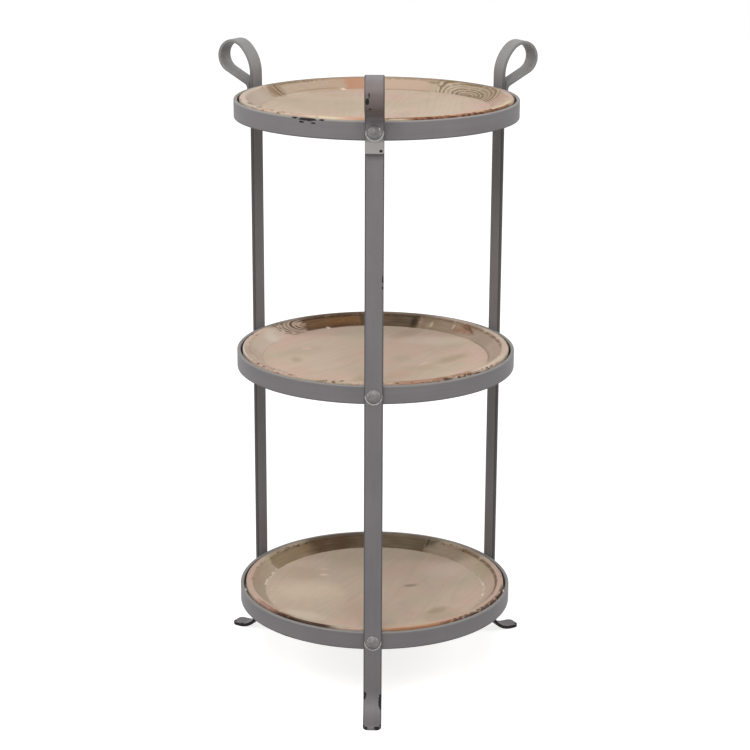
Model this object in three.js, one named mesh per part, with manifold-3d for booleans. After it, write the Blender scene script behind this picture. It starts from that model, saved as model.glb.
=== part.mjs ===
import * as THREE from "three";
import { mergeVertices } from "three/addons/utils/BufferGeometryUtils.js";
import Module from "manifold-3d";

// A round three-tier side table: three bent flat-bar legs riveted outside three hoops,
// with a loose turned wooden tray lying on lugs inside each hoop.
// Millimetres, +Z up. The floor is at zero height and the front leg faces -Y.

// Flat bar that legs and hoops are bent from
const barWidth = 25;
const barThickness = 4.8;

// Hoops
const hoopOuterRadius = 194.3;
const bottomHoopHeight = 97;
const tierPitch = 351;
const tierNames = ["bottom", "middle", "top"];
const hoopSegments = 72;

// Legs, named with the way they face
const legAngle = { front: -90, right: 30, left: 150 };
const footLength = 50.5;
const footBendRadius = 32;
const footCornerRadius = 8;

// Loop that each leg ends in, with the angles in degrees and the radii on the bar's middle line
const loopLeanRadius = 51.7;
const loopLeanAngle = 49;
const loopCrownRadius = 21.4;
const loopNeckRadius = 9;
const loopNeckAngle = 63.2;

// Lap: the bar's end that comes down over the leg, held by the top rivet
const lapKickRadius = 14;
const lapKickAngle = 8;
const lapKickLength = 16;
const lapCornerRadius = 3;

// Rivets
const rivetHeadRadius = 9.5;
const rivetHeadHeight = 5;
const rivetShankRadius = 4;
const rivetTailRadius = 7;
const rivetTailHeight = 1.5;
const rivetSegments = 16;
const domeSteps = 3;

// Lugs welded inside each hoop's lower edge, between the legs
const lugAngle = { back: 90, front_left: -150, front_right: -30 };
const lugWidth = 20;
const lugThickness = 3;
const lugReach = 11.5;
const lugCornerRadius = 4;

// Trays: a turned rim with a sloping inner wall, and a round panel that lies on the rim's ledge
const trayPlay = 1;
const trayRecessDepth = 15;
const panelThickness = 5;
const ledgeWidth = 10;
const ledgeThickness = 3.2;
const rimWidth = 10;
const rimWallRun = 18;
const rimToeHeight = 1.8;
const rimRound = 2;
const rimUnderBevel = 1.5;
const traySegments = 72;
const rimRoundSteps = 2;

// Clearance between touching pieces, the overrun of a cut and the weld distance of a mesh's corners
const seatGap = 0.3;
const cutOverrun = 2;
const weldDistance = 0.001;

// Steps of curves: degrees for each step of a bend, and pairs of steps for a rounded corner
const bendStepAngle = 10;
const cornerSegments = 3;

// Places that follow from the sizes above
const hoopHeight = barWidth;
const hoopInnerRadius = hoopOuterRadius - barThickness;
const hoopInnerFlat = hoopInnerRadius * Math.cos(Math.PI / hoopSegments);
const legInner = hoopOuterRadius + seatGap;
const legMiddle = legInner + barThickness / 2;
const legOuter = legInner + barThickness;
const lapMiddle = legMiddle + barThickness + seatGap;
const lapOuter = legOuter + seatGap + barThickness;
const rivetHoleRadius = rivetShankRadius + seatGap;
const trayRadius = hoopInnerFlat - seatGap - rivetTailHeight - trayPlay;
const trayFloorHeight = ledgeThickness + seatGap + panelThickness;
const trayHeight = trayFloorHeight + trayRecessDepth;
const rimToeRadius = trayRadius - rimWidth - rimWallRun;
const topTier = tierNames.length - 1;

const paint = { color: 0x7c7977, roughness: 0.5, metalness: 0.35 };
const darkPaint = { color: 0x6f6c6b, roughness: 0.55, metalness: 0.35 };
const steel = { color: 0x8a8785, roughness: 0.45, metalness: 0.5 };
const wood = { color: 0xb59c82, roughness: 0.8, metalness: 0 };
const paleWood = { color: 0xc4b09a, roughness: 0.8, metalness: 0 };

const wasm = await Module();
wasm.setup();

// A closed geometry as a solid that can be cut.
function toSolid(geometry) {
  const bare = geometry.clone();
  bare.deleteAttribute("normal");
  bare.deleteAttribute("uv");
  const merged = mergeVertices(bare, weldDistance);
  const vertProperties = new Float32Array(merged.attributes.position.array);
  const triVerts = new Uint32Array(merged.index.array);
  return new wasm.Manifold(new wasm.Mesh({ numProp: 3, vertProperties, triVerts }));
}

// A cut solid as a geometry again.
function toGeometry(solid) {
  const mesh = solid.getMesh();
  const geometry = new THREE.BufferGeometry();
  geometry.setAttribute("position", new THREE.BufferAttribute(mesh.vertProperties, mesh.numProp));
  geometry.setIndex(new THREE.BufferAttribute(mesh.triVerts, 1));
  geometry.computeVertexNormals();
  return geometry;
}

function namedMesh(name, geometry, finish) {
  const mesh = new THREE.Mesh(geometry, new THREE.MeshStandardMaterial(finish));
  mesh.name = name;
  return mesh;
}

// Height of a tier's hoop at its lower edge, and of the rivets half-way up the hoop.
function hoopBottom(tier) {
  return bottomHoopHeight + tier * tierPitch;
}

function rivetHeight(tier) {
  return hoopBottom(tier) + hoopHeight / 2;
}

// A round bar lying along +X, from one distance to another.
function radialCylinder(radius, from, to) {
  const cylinder = new THREE.CylinderGeometry(radius, radius, to - from, rivetSegments);
  cylinder.rotateZ(-Math.PI / 2);
  cylinder.translate((from + to) / 2, 0, 0);
  return cylinder;
}

// The middle line of a bar, made step by step as on a bending jig: straight runs and bends in the
// upright plane, with x outwards and z up. Each station keeps its place and its heading.
class BarPath {
  constructor(x, z, heading) {
    this.stations = [{ x, z, heading }];
  }

  last() {
    return this.stations[this.stations.length - 1];
  }

  run(length) {
    const { x, z, heading } = this.last();
    this.stations.push({ x: x + length * Math.cos(heading), z: z + length * Math.sin(heading), heading });
  }

  // A bend of so many degrees, to the left where positive.
  bend(radius, degrees) {
    const { x, z, heading } = this.last();
    const turn = THREE.MathUtils.degToRad(degrees);
    const reach = Math.sign(turn) * radius;
    const steps = Math.ceil(Math.abs(degrees) / bendStepAngle);
    for (let i = 1; i <= steps; i += 1) {
      const now = heading + (turn * i) / steps;
      this.stations.push({
        x: x + reach * (Math.sin(now) - Math.sin(heading)),
        z: z - reach * (Math.cos(now) - Math.cos(heading)),
        heading: now,
      });
    }
  }

  // Both faces of the bar as one closed outline.
  outline(thickness) {
    const beside = (side) => ({ x, z, heading }) =>
      new THREE.Vector2(
        x - (side * thickness * Math.sin(heading)) / 2,
        z + (side * thickness * Math.cos(heading)) / 2,
      );
    return [...this.stations.map(beside(1)), ...this.stations.map(beside(-1)).reverse()];
  }
}

// One bar from the foot's tip up the leg, round the loop and down again to the end of the lap.
function legPath() {
  const lean = THREE.MathUtils.degToRad(loopLeanAngle);
  const neck = THREE.MathUtils.degToRad(loopNeckAngle);
  const footBendMiddle = footBendRadius + barThickness / 2;
  const crownOffset =
    loopLeanRadius * (1 - Math.cos(lean)) + loopCrownRadius * (Math.cos(lean) + Math.cos(neck));
  const neckOffset = lapMiddle - legMiddle + loopNeckRadius * (1 - Math.cos(neck));
  const returnLength = (crownOffset - neckOffset) / Math.sin(neck);
  const loopDrop =
    loopCrownRadius * (Math.sin(lean) + Math.sin(neck)) +
    returnLength * Math.cos(neck) +
    loopNeckRadius * Math.sin(neck) -
    loopLeanRadius * Math.sin(lean);
  const neckEnd = rivetHeight(topTier) + rivetHeadRadius + seatGap;
  const leanStart = neckEnd + loopDrop;

  const path = new BarPath(legInner + footLength, barThickness / 2, Math.PI);
  path.run(legInner + footLength - legMiddle - footBendMiddle);
  path.bend(footBendMiddle, -90);
  path.run(leanStart - path.last().z);
  path.bend(loopLeanRadius, -loopLeanAngle);
  path.bend(loopCrownRadius, loopLeanAngle - loopNeckAngle - 180);
  path.run(returnLength);
  path.bend(loopNeckRadius, loopNeckAngle);
  path.run(2 * (rivetHeadRadius + seatGap));
  path.bend(lapKickRadius, lapKickAngle);
  path.run(lapKickLength);
  return path;
}

// What a rounded corner takes off a bar's square end: x along the bar to the end, y across it.
function cornerWaste(radius, end, side, depth) {
  const edge = (side * barWidth) / 2;
  const past = side * cutOverrun;
  const shape = new THREE.Shape();
  shape.moveTo(end - radius, edge);
  shape.lineTo(end - radius, edge + past);
  shape.lineTo(end + cutOverrun, edge + past);
  shape.lineTo(end + cutOverrun, edge - side * radius);
  shape.lineTo(end, edge - side * radius);
  shape.absarc(end - radius, edge - side * radius, radius, 0, (side * Math.PI) / 2, side < 0);
  return new THREE.ExtrudeGeometry(shape, { depth, bevelEnabled: false, curveSegments: cornerSegments });
}

function legGeometry(path) {
  const bar = new THREE.ExtrudeGeometry(new THREE.Shape(path.outline(barThickness)), {
    depth: barWidth,
    bevelEnabled: false,
  });
  bar.translate(0, 0, -barWidth / 2);
  bar.rotateX(Math.PI / 2);
  let solid = toSolid(bar);

  for (let tier = 0; tier <= topTier; tier += 1) {
    const hole = radialCylinder(rivetHoleRadius, legInner - cutOverrun, lapOuter + cutOverrun);
    hole.translate(0, 0, rivetHeight(tier));
    solid = solid.subtract(toSolid(hole));
  }

  const lapEnd = path.last();
  for (const side of [-1, 1]) {
    const footDepth = barThickness + 2 * cutOverrun;
    const footWaste = cornerWaste(footCornerRadius, legInner + footLength, side, footDepth);
    footWaste.translate(0, 0, -cutOverrun);
    solid = solid.subtract(toSolid(footWaste));

    const lapWaste = cornerWaste(lapCornerRadius, 0, side, barThickness * 2);
    lapWaste.translate(0, 0, -barThickness);
    lapWaste.rotateY(-lapEnd.heading);
    lapWaste.translate(lapEnd.x, 0, lapEnd.z);
    solid = solid.subtract(toSolid(lapWaste));
  }
  return toGeometry(solid);
}

// A rectangular bar rolled into a ring, with a hole for each leg's rivet.
function hoopGeometry() {
  const section = [
    new THREE.Vector2(hoopInnerRadius, 0),
    new THREE.Vector2(hoopOuterRadius, 0),
    new THREE.Vector2(hoopOuterRadius, hoopHeight),
    new THREE.Vector2(hoopInnerRadius, hoopHeight),
    new THREE.Vector2(hoopInnerRadius, 0),
  ];
  const ring = new THREE.LatheGeometry(section, hoopSegments);
  ring.rotateX(Math.PI / 2);
  let solid = toSolid(ring);
  for (const angle of Object.values(legAngle)) {
    const hole = radialCylinder(rivetHoleRadius, hoopInnerRadius - cutOverrun, hoopOuterRadius + cutOverrun);
    hole.translate(0, 0, hoopHeight / 2);
    hole.rotateZ(THREE.MathUtils.degToRad(angle));
    solid = solid.subtract(toSolid(hole));
  }
  return toGeometry(solid);
}

// Points of a low dome's side view, from its top on the axis down to its edge.
function domePoints(radius, height) {
  const sphere = (radius * radius + height * height) / (2 * height);
  const span = Math.asin(radius / sphere);
  return Array.from({ length: domeSteps + 1 }, (_, i) => {
    const angle = (span * i) / domeSteps;
    return { across: sphere * Math.sin(angle), rise: height - sphere * (1 - Math.cos(angle)) };
  });
}

// A rivet along +X: its flat tail inside the hoop, its shank, and its domed head outside.
function rivetGeometry(headSeat) {
  const tailSeat = hoopInnerFlat - seatGap;
  const tail = domePoints(rivetTailRadius, rivetTailHeight).map(
    ({ across, rise }) => new THREE.Vector2(across, tailSeat - rise),
  );
  const head = domePoints(rivetHeadRadius, rivetHeadHeight)
    .map(({ across, rise }) => new THREE.Vector2(across, headSeat + rise))
    .reverse();
  const shank = [
    new THREE.Vector2(rivetShankRadius, tailSeat),
    new THREE.Vector2(rivetShankRadius, headSeat),
  ];
  tail[0].x = 0;
  head[domeSteps].x = 0;
  const rivet = new THREE.LatheGeometry([...tail, ...shank, ...head], rivetSegments);
  rivet.rotateZ(-Math.PI / 2);
  return rivet;
}

// A flat lug along +X: its outer end follows the hoop and its inner end carries the tray's edge.
function lugGeometry() {
  const outer = hoopInnerFlat - seatGap;
  const inner = trayRadius - lugReach;
  const halfWidth = lugWidth / 2;
  const halfAngle = Math.asin(halfWidth / outer);
  const cornerX = inner + lugCornerRadius;
  const cornerY = halfWidth - lugCornerRadius;
  const shape = new THREE.Shape();
  shape.absarc(0, 0, outer, -halfAngle, halfAngle, false);
  shape.lineTo(cornerX, halfWidth);
  shape.absarc(cornerX, cornerY, lugCornerRadius, Math.PI / 2, Math.PI, false);
  shape.absarc(cornerX, -cornerY, lugCornerRadius, Math.PI, 1.5 * Math.PI, false);
  return new THREE.ExtrudeGeometry(shape, {
    depth: lugThickness,
    bevelEnabled: false,
    curveSegments: cornerSegments,
  });
}

// Spins a side view, drawn with x outwards and y up, round the upright axis.
function turned(section) {
  const geometry = new THREE.LatheGeometry(section, traySegments);
  geometry.rotateX(Math.PI / 2);
  return geometry;
}

// A tray's rim: ledge that carries the panel, bevelled under edge, flat top with rounded edges, and
// sloping inner wall that drops upright past the panel's edge.
function rimGeometry() {
  const rimInner = trayRadius - rimWidth;
  const ledgeRadius = rimToeRadius - ledgeWidth;
  const wallAngle = Math.atan2(rimWallRun, trayRecessDepth);
  const rounding = (middle, from, to) =>
    Array.from({ length: rimRoundSteps + 1 }, (_, i) => {
      const angle = from + ((to - from) * i) / rimRoundSteps;
      return new THREE.Vector2(
        middle + rimRound * Math.cos(angle),
        trayHeight - rimRound + rimRound * Math.sin(angle),
      );
    });
  return turned([
    new THREE.Vector2(ledgeRadius, 0),
    new THREE.Vector2(trayRadius - rimUnderBevel, 0),
    new THREE.Vector2(trayRadius, rimUnderBevel),
    ...rounding(trayRadius - rimRound, 0, Math.PI / 2),
    ...rounding(rimInner + rimRound, Math.PI / 2, Math.PI - wallAngle / 2),
    new THREE.Vector2(rimToeRadius, trayFloorHeight + rimToeHeight),
    new THREE.Vector2(rimToeRadius, ledgeThickness),
    new THREE.Vector2(ledgeRadius, ledgeThickness),
    new THREE.Vector2(ledgeRadius, 0),
  ]);
}

function panelGeometry() {
  const panelRadius = rimToeRadius - seatGap;
  return turned([
    new THREE.Vector2(0, 0),
    new THREE.Vector2(panelRadius, 0),
    new THREE.Vector2(panelRadius, panelThickness),
    new THREE.Vector2(0, panelThickness),
  ]);
}

// Turns a piece made along +X to the way it faces and lifts it to its height.
function place(mesh, angle, height) {
  mesh.rotation.z = THREE.MathUtils.degToRad(angle);
  mesh.position.z = height;
  return mesh;
}

function buildTier(tier) {
  const tierName = tierNames[tier];
  const group = new THREE.Group();
  const hoop = namedMesh(`${tierName}_hoop`, hoopGeometry(), paint);
  group.add(place(hoop, 0, hoopBottom(tier)));

  const headSeat = (tier === topTier ? lapOuter : legOuter) + seatGap;
  for (const [side, angle] of Object.entries(legAngle)) {
    const rivet = namedMesh(`${tierName}_${side}_rivet`, rivetGeometry(headSeat), steel);
    group.add(place(rivet, angle, rivetHeight(tier)));
  }
  for (const [side, angle] of Object.entries(lugAngle)) {
    const lug = namedMesh(`${tierName}_${side}_lug`, lugGeometry(), darkPaint);
    group.add(place(lug, angle, hoopBottom(tier)));
  }

  const trayBottom = hoopBottom(tier) + lugThickness + seatGap;
  const rim = namedMesh(`${tierName}_tray_rim`, rimGeometry(), wood);
  const panel = namedMesh(`${tierName}_tray_panel`, panelGeometry(), paleWood);
  group.add(place(rim, 0, trayBottom));
  group.add(place(panel, 0, trayBottom + ledgeThickness + seatGap));
  return group;
}

const stand = new THREE.Group();
const path = legPath();
for (const [side, angle] of Object.entries(legAngle)) {
  stand.add(place(namedMesh(`${side}_leg`, legGeometry(path), paint), angle, 0));
}
for (let tier = 0; tier <= topTier; tier += 1) {
  stand.add(buildTier(tier));
}

// The front loop reaches further out than the hoops do at the back, so the stand moves back
// until the middle of its whole length and width is at the origin.
const frontReach = Math.max(...path.outline(barThickness).map(({ x }) => x));
stand.position.y = (frontReach - hoopOuterRadius) / 2;

const group = new THREE.Group();
group.add(stand);

export default group;
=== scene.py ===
"""Finished look of a round three-tier side table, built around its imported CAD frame.

Three bent flat-bar legs in brushed grey paint are riveted outside three hoops, and each hoop holds a
loose wooden tray. Everything is in metres, in the frame of the CAD model.
"""

import logging
import math
from dataclasses import dataclass, field
from enum import Enum
from typing import Any, Callable, Iterator, Mapping, Sequence, Union

import bmesh
import bpy
import numpy as np
from mathutils import Matrix, Vector, noise


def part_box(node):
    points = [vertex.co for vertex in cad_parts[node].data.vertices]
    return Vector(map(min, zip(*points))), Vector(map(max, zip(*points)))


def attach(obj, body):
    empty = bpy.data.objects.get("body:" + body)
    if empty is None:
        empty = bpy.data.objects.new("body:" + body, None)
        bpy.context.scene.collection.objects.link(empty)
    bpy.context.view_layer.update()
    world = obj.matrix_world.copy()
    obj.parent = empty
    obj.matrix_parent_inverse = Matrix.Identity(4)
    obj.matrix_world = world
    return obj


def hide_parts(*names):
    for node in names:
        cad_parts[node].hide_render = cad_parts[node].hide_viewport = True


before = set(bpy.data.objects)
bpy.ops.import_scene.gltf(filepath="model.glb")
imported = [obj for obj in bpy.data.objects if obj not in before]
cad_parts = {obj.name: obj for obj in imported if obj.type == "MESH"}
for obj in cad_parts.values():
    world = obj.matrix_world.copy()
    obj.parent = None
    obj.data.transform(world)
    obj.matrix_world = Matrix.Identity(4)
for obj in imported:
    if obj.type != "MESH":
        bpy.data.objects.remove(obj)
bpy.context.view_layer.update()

LOG = logging.getLogger("side_table")

BAR_WIDTH = 0.025
BAR_THICKNESS = 0.0048
SEAT_GAP = 0.0003

# Bar coordinates start at 0, 2 and 4 for the front, right and left leg,
# and at 10, 12 and 14 for the hoops
BAR_PITCH = 2.0
FIRST_HOOP = 10.0

Colour = tuple[float, float, float, float]
Number = Union[float, "Signal"]
Point = tuple[float, float, float]


def tint(red: int, green: int, blue: int) -> Colour:
    """Turns a display colour into the linear colour that the shaders take.

    Args:
        red: Display red, 0 to 255.
        green: Display green, 0 to 255.
        blue: Display blue, 0 to 255.

    Returns:
        Linear red, green and blue, with full alpha.
    """
    linear = [
        value / 12.92 if value <= 0.04045 else ((value + 0.055) / 1.055) ** 2.4
        for value in (red / 255, green / 255, blue / 255)
    ]
    return (*linear, 1.0)


# Node graphs


def _operator(operation: str, reflected: bool = False) -> Callable[["Signal", Number], "Signal"]:
    """Makes a Python operator that stands for one Math node.

    Args:
        operation: The Math node's operation.
        reflected: Whether the other value is on the left.

    Returns:
        The operator's method.
    """

    def method(self: "Signal", other: Number) -> "Signal":
        """Adds the Math node for this and another value."""
        left, right = (other, self) if reflected else (self, other)
        return self.graph.node("ShaderNodeMath", {"operation": operation}, {0: left, 1: right})

    return method


class Signal:
    """An output socket of a node, with Python's operators standing for Math nodes.

    The larger of two values is written with |, as where two masks are joined.
    """

    def __init__(self, graph: "Graph", socket: "bpy.types.NodeSocket | None") -> None:
        """Keeps the socket and the graph that its Math nodes go into."""
        self.graph = graph
        self.socket = socket

    __add__, __radd__ = _operator("ADD"), _operator("ADD", reflected=True)
    __sub__, __rsub__ = _operator("SUBTRACT"), _operator("SUBTRACT", reflected=True)
    __mul__, __rmul__ = _operator("MULTIPLY"), _operator("MULTIPLY", reflected=True)
    __truediv__, __rtruediv__ = _operator("DIVIDE"), _operator("DIVIDE", reflected=True)
    __or__, __ror__ = _operator("MAXIMUM"), _operator("MAXIMUM", reflected=True)

    def _alone(self, operation: str) -> "Signal":
        """Adds one Math node for this value alone."""
        return self.graph.node("ShaderNodeMath", {"operation": operation}, {0: self})

    def __abs__(self) -> "Signal":
        """Drops the sign."""
        return self._alone("ABSOLUTE")

    def whole(self) -> "Signal":
        """Rounds down to a whole number."""
        return self._alone("FLOOR")

    def part(self) -> "Signal":
        """Keeps what is left above the whole number."""
        return self._alone("FRACT")

    def angle(self) -> "Signal":
        """Turns a cosine into its angle."""
        return self._alone("ARCCOSINE")

    def step(self, low: float, high: float) -> "Signal":
        """Rises smoothly from 0 to 1 between two values.

        Args:
            low: Value that gives 0.
            high: Value that gives 1; below low, the step falls instead.

        Returns:
            The smoothed and limited value.
        """
        return self.graph.node(
            "ShaderNodeMapRange",
            {"interpolation_type": "SMOOTHSTEP"},
            {"Value": self, "From Min": low, "From Max": high, "To Min": 0.0, "To Max": 1.0},
        )

    def beside(self, output: str | int) -> "Signal":
        """Gives another output of the same node."""
        return Signal(self.graph, self.socket.node.outputs[output])


class Graph:
    """The node tree of one material or world, and the nodes that its finish is made of."""

    def __init__(self, tree: bpy.types.NodeTree) -> None:
        """Empties the tree and keeps it."""
        tree.nodes.clear()
        self.tree = tree

    def node(
        self,
        kind: str,
        settings: Mapping[str, Any] | None = None,
        inputs: Mapping[str | int, Any] | None = None,
        output: str | int = 0,
    ) -> Signal:
        """Adds one node.

        Args:
            kind: The node's type name.
            settings: The node's own settings, such as a Math node's operation, set first.
            inputs: Values or links, by socket name or number.
            output: Name or number of the output to hand back.

        Returns:
            The chosen output socket, wrapped.
        """
        made = self.tree.nodes.new(kind)
        for name, value in (settings or {}).items():
            setattr(made, name, value)
        for name, value in (inputs or {}).items():
            if isinstance(value, Signal):
                self.tree.links.new(value.socket, made.inputs[name])
            else:
                made.inputs[name].default_value = value
        return Signal(self, made.outputs[output] if made.outputs else None)

    def position(self) -> Signal:
        """Gives the surface point in the piece's own frame, which moves with the piece."""
        return self.node("ShaderNodeTexCoord", output="Object")

    def attribute(self, name: str, output: str = "Vector") -> Signal:
        """Gives a value that the mesh carries."""
        return self.node("ShaderNodeAttribute", {"attribute_name": name}, output=output)

    def split(self, vector: Signal) -> tuple[Signal, Signal, Signal]:
        """Splits a vector into its three parts."""
        first = self.node("ShaderNodeSeparateXYZ", inputs={0: vector})
        return (first, first.beside(1), first.beside(2))

    def vector(self, x: Number, y: Number, z: Number) -> Signal:
        """Joins three values into a vector."""
        return self.node("ShaderNodeCombineXYZ", inputs={0: x, 1: y, 2: z})

    def combine(self, operation: str, left: Any, right: Any, output: int = 0) -> Signal:
        """Adds one Vector Math node for two vectors."""
        return self.node("ShaderNodeVectorMath", {"operation": operation}, {0: left, 1: right}, output)

    def length(self, vector: Signal) -> Signal:
        """Gives a vector's length."""
        return self.node("ShaderNodeVectorMath", {"operation": "LENGTH"}, {0: vector}, "Value")

    def turn(self, vector: Signal, degrees: float) -> Signal:
        """Turns a vector about the upright axis."""
        inputs = {"Vector": vector, "Angle": math.radians(degrees)}
        return self.node("ShaderNodeVectorRotate", {"rotation_type": "Z_AXIS"}, inputs)

    def chance(self, value: Signal, output: str) -> Signal:
        """Gives random values between 0 and 1, always the same for one value."""
        return self.node("ShaderNodeTexWhiteNoise", {"noise_dimensions": "1D"}, {"W": value}, output)

    def noise(self, vector: Signal, grain: Point, detail: float = 2.0, rough: float = 0.5) -> Signal:
        """Adds a noise between 0 and 1.

        Args:
            vector: Place on the surface.
            grain: Grains for each metre, along each axis.
            detail: Number of finer layers.
            rough: Strength of the finer layers.

        Returns:
            The noise value.
        """
        stretched = self.combine("MULTIPLY", vector, grain)
        inputs = {"Vector": stretched, "Scale": 1.0, "Detail": detail, "Roughness": rough}
        return self.node("ShaderNodeTexNoise", {"noise_dimensions": "3D"}, inputs)

    def mix(self, factor: Number, first: Any, second: Any, blend: str = "MIX") -> Signal:
        """Mixes two colours.

        Args:
            factor: Share of the second colour.
            first: Colour at factor 0.
            second: Colour at factor 1.
            blend: How the second colour is laid on.

        Returns:
            The mixed colour.
        """
        settings = {"data_type": "RGBA", "blend_type": blend, "clamp_factor": True}
        return self.node("ShaderNodeMix", settings, {0: factor, 6: first, 7: second}, output=2)

    def bump(self, height: Signal) -> Signal:
        """Turns a height in metres into a normal."""
        return self.node("ShaderNodeBump", inputs={"Strength": 1.0, "Distance": 1.0, "Height": height})

    def surface(self, constants: Mapping[str, Any], links: Mapping[str, Signal]) -> None:
        """Ends a material in one shader.

        Args:
            constants: What is the same all over the surface.
            links: What changes over the surface.
        """
        shader = self.node("ShaderNodeBsdfPrincipled", inputs={**constants, **links})
        self.node("ShaderNodeOutputMaterial", inputs={"Surface": shader})


def new_material(name: str) -> tuple[bpy.types.Material, Graph]:
    """Makes an empty node material.

    Args:
        name: The material's name.

    Returns:
        The material and its graph.
    """
    material = bpy.data.materials.new(name)
    material.use_nodes = True
    return material, Graph(material.node_tree)


# Mesh making


def link(thing: bpy.types.Object) -> bpy.types.Object:
    """Puts a new object into the scene, and hands it back."""
    bpy.context.scene.collection.objects.link(thing)
    return thing


def circle(count: int) -> np.ndarray:
    """Lists evenly spaced angles round a circle."""
    return np.linspace(0, 2 * math.pi, count, endpoint=False)


def skin(
    name: str, rings: np.ndarray, closed: bool, coords: np.ndarray | None = None
) -> bpy.types.Object:
    """Joins rings of points into one closed skin.

    Args:
        name: The new object's name.
        rings: Points, as rings by points of a ring by 3. Each ring runs anticlockwise seen from the last.
        closed: Whether the last ring joins the first one; else each end is closed by a fan.
        coords: Bar coordinates for the "bar" attribute, one ring longer than rings where closed.

    Returns:
        The linked object.
    """
    count, around = rings.shape[:2]
    vertices = [tuple(point) for point in rings.reshape(-1, 3)]
    faces: list[tuple[int, ...]] = []
    corners: list[tuple[int, int]] = []
    for i in range(count if closed else count - 1):
        for j in range(around):
            cells = ((i, j), (i, j + 1), (i + 1, j + 1), (i + 1, j))
            faces.append(tuple((a % count) * around + b % around for a, b in cells))
            corners.extend((a, b % around) for a, b in cells)
    if not closed:
        for ring, ahead in ((0, -1), (count - 1, 1)):
            vertices.append(tuple(rings[ring].mean(axis=0)))
            for j in range(around):
                pair = (j, (j + 1) % around)[::ahead]
                faces.append((len(vertices) - 1, ring * around + pair[0], ring * around + pair[1]))
                corners.extend([(ring, -1), (ring, pair[0]), (ring, pair[1])])
    mesh = bpy.data.meshes.new(name)
    mesh.from_pydata(vertices, [], faces)
    mesh.polygons.foreach_set("use_smooth", [True] * len(mesh.polygons))
    if coords is not None:
        fan = coords.mean(axis=1)
        values = [fan[a] if b < 0 else coords[a, b] for a, b in corners]
        layer = mesh.attributes.new("bar", "FLOAT_VECTOR", "CORNER")
        layer.data.foreach_set("vector", np.asarray(values, dtype=np.float32).ravel())
    mesh.validate()
    return link(bpy.data.objects.new(name, mesh))


def settle(
    thing: bpy.types.Object, node: str, body: str, material: bpy.types.Material
) -> None:
    """Puts a finished piece in the place of its CAD node.

    Args:
        thing: The piece, with its mesh in the frame of the CAD model.
        node: The CAD node that it stands for.
        body: The CAD body that it moves with.
        material: The piece's finish.
    """
    low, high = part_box(node)
    for vertex in thing.data.vertices:
        for axis in range(3):
            vertex.co[axis] = min(max(vertex.co[axis], low[axis]), high[axis])
    thing.data.materials.append(material)
    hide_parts(node)
    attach(thing, body)
    LOG.info("%s stands for %s on %s", thing.name, node, body)


def wobble(point: Sequence[float], size: float, seed: float) -> float:
    """Gives a smooth value between about -1 and 1 that changes over so many metres.

    Args:
        point: Place in metres.
        size: Distance over which the value changes.
        seed: Shift that makes another pattern.

    Returns:
        The value.
    """
    x, y, z = (value / size for value in point)
    return noise.noise(Vector((x + seed, y - seed, z + 0.5 * seed)))


# Named places


class Place(Enum):
    """A named place, with the name that its pieces carry."""

    @property
    def label(self) -> str:
        """Gives the place's part of a piece's name."""
        return self.name.lower()


class Facing(Place):
    """Ways that the legs face, with the angle from +X in degrees."""

    FRONT = -90.0
    RIGHT = 30.0
    LEFT = 150.0


class LugPlace(Place):
    """Places of the lugs round a hoop, with the angle from +X in degrees."""

    BACK = 90.0
    FRONT_LEFT = -150.0
    FRONT_RIGHT = -30.0


class Tier(Place):
    """Levels of the table, counted from the floor."""

    BOTTOM = 0
    MIDDLE = 1
    TOP = 2

    def hoop_box(self) -> tuple[Vector, Vector]:
        """Gives the box of this level's hoop."""
        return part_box(f"{self.label}_hoop")

    def centre(self) -> Vector:
        """Gives the middle of the hoop's lower edge."""
        low, high = self.hoop_box()
        return Vector(((low.x + high.x) / 2, (low.y + high.y) / 2, low.z))


def outward(angle: float, centre: Vector) -> Matrix:
    """Gives the transform that turns +X outwards at an angle round the table's axis.

    Args:
        angle: Angle from +X in degrees.
        centre: Point on the axis that the origin moves to.

    Returns:
        The transform.
    """
    return Matrix.Translation(centre) @ Matrix.Rotation(math.radians(angle), 4, "Z")


# Finishes. A grain is a count of noise grains for each metre, along each axis.


@dataclass(frozen=True)
class Chip:
    """A place where the paint has come off a bar, in bar coordinates and metres."""

    along: float
    across: float
    length: float
    width: float


@dataclass(frozen=True)
class PaintedLight:
    """A length of a bar with painted light, darker as painted shade or lighter as a painted highlight, in
    bar coordinates and metres.
    """

    along: float
    length: float
    colour: Colour
    strength: float


@dataclass(frozen=True)
class BarPlace:
    """A place on a bar in bar coordinates, with the noises that the steps of its paint share."""

    bar: Signal
    along: Signal
    across: Signal
    depth: Signal
    broad: Signal
    cloud: Signal
    flecks: Signal


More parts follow.
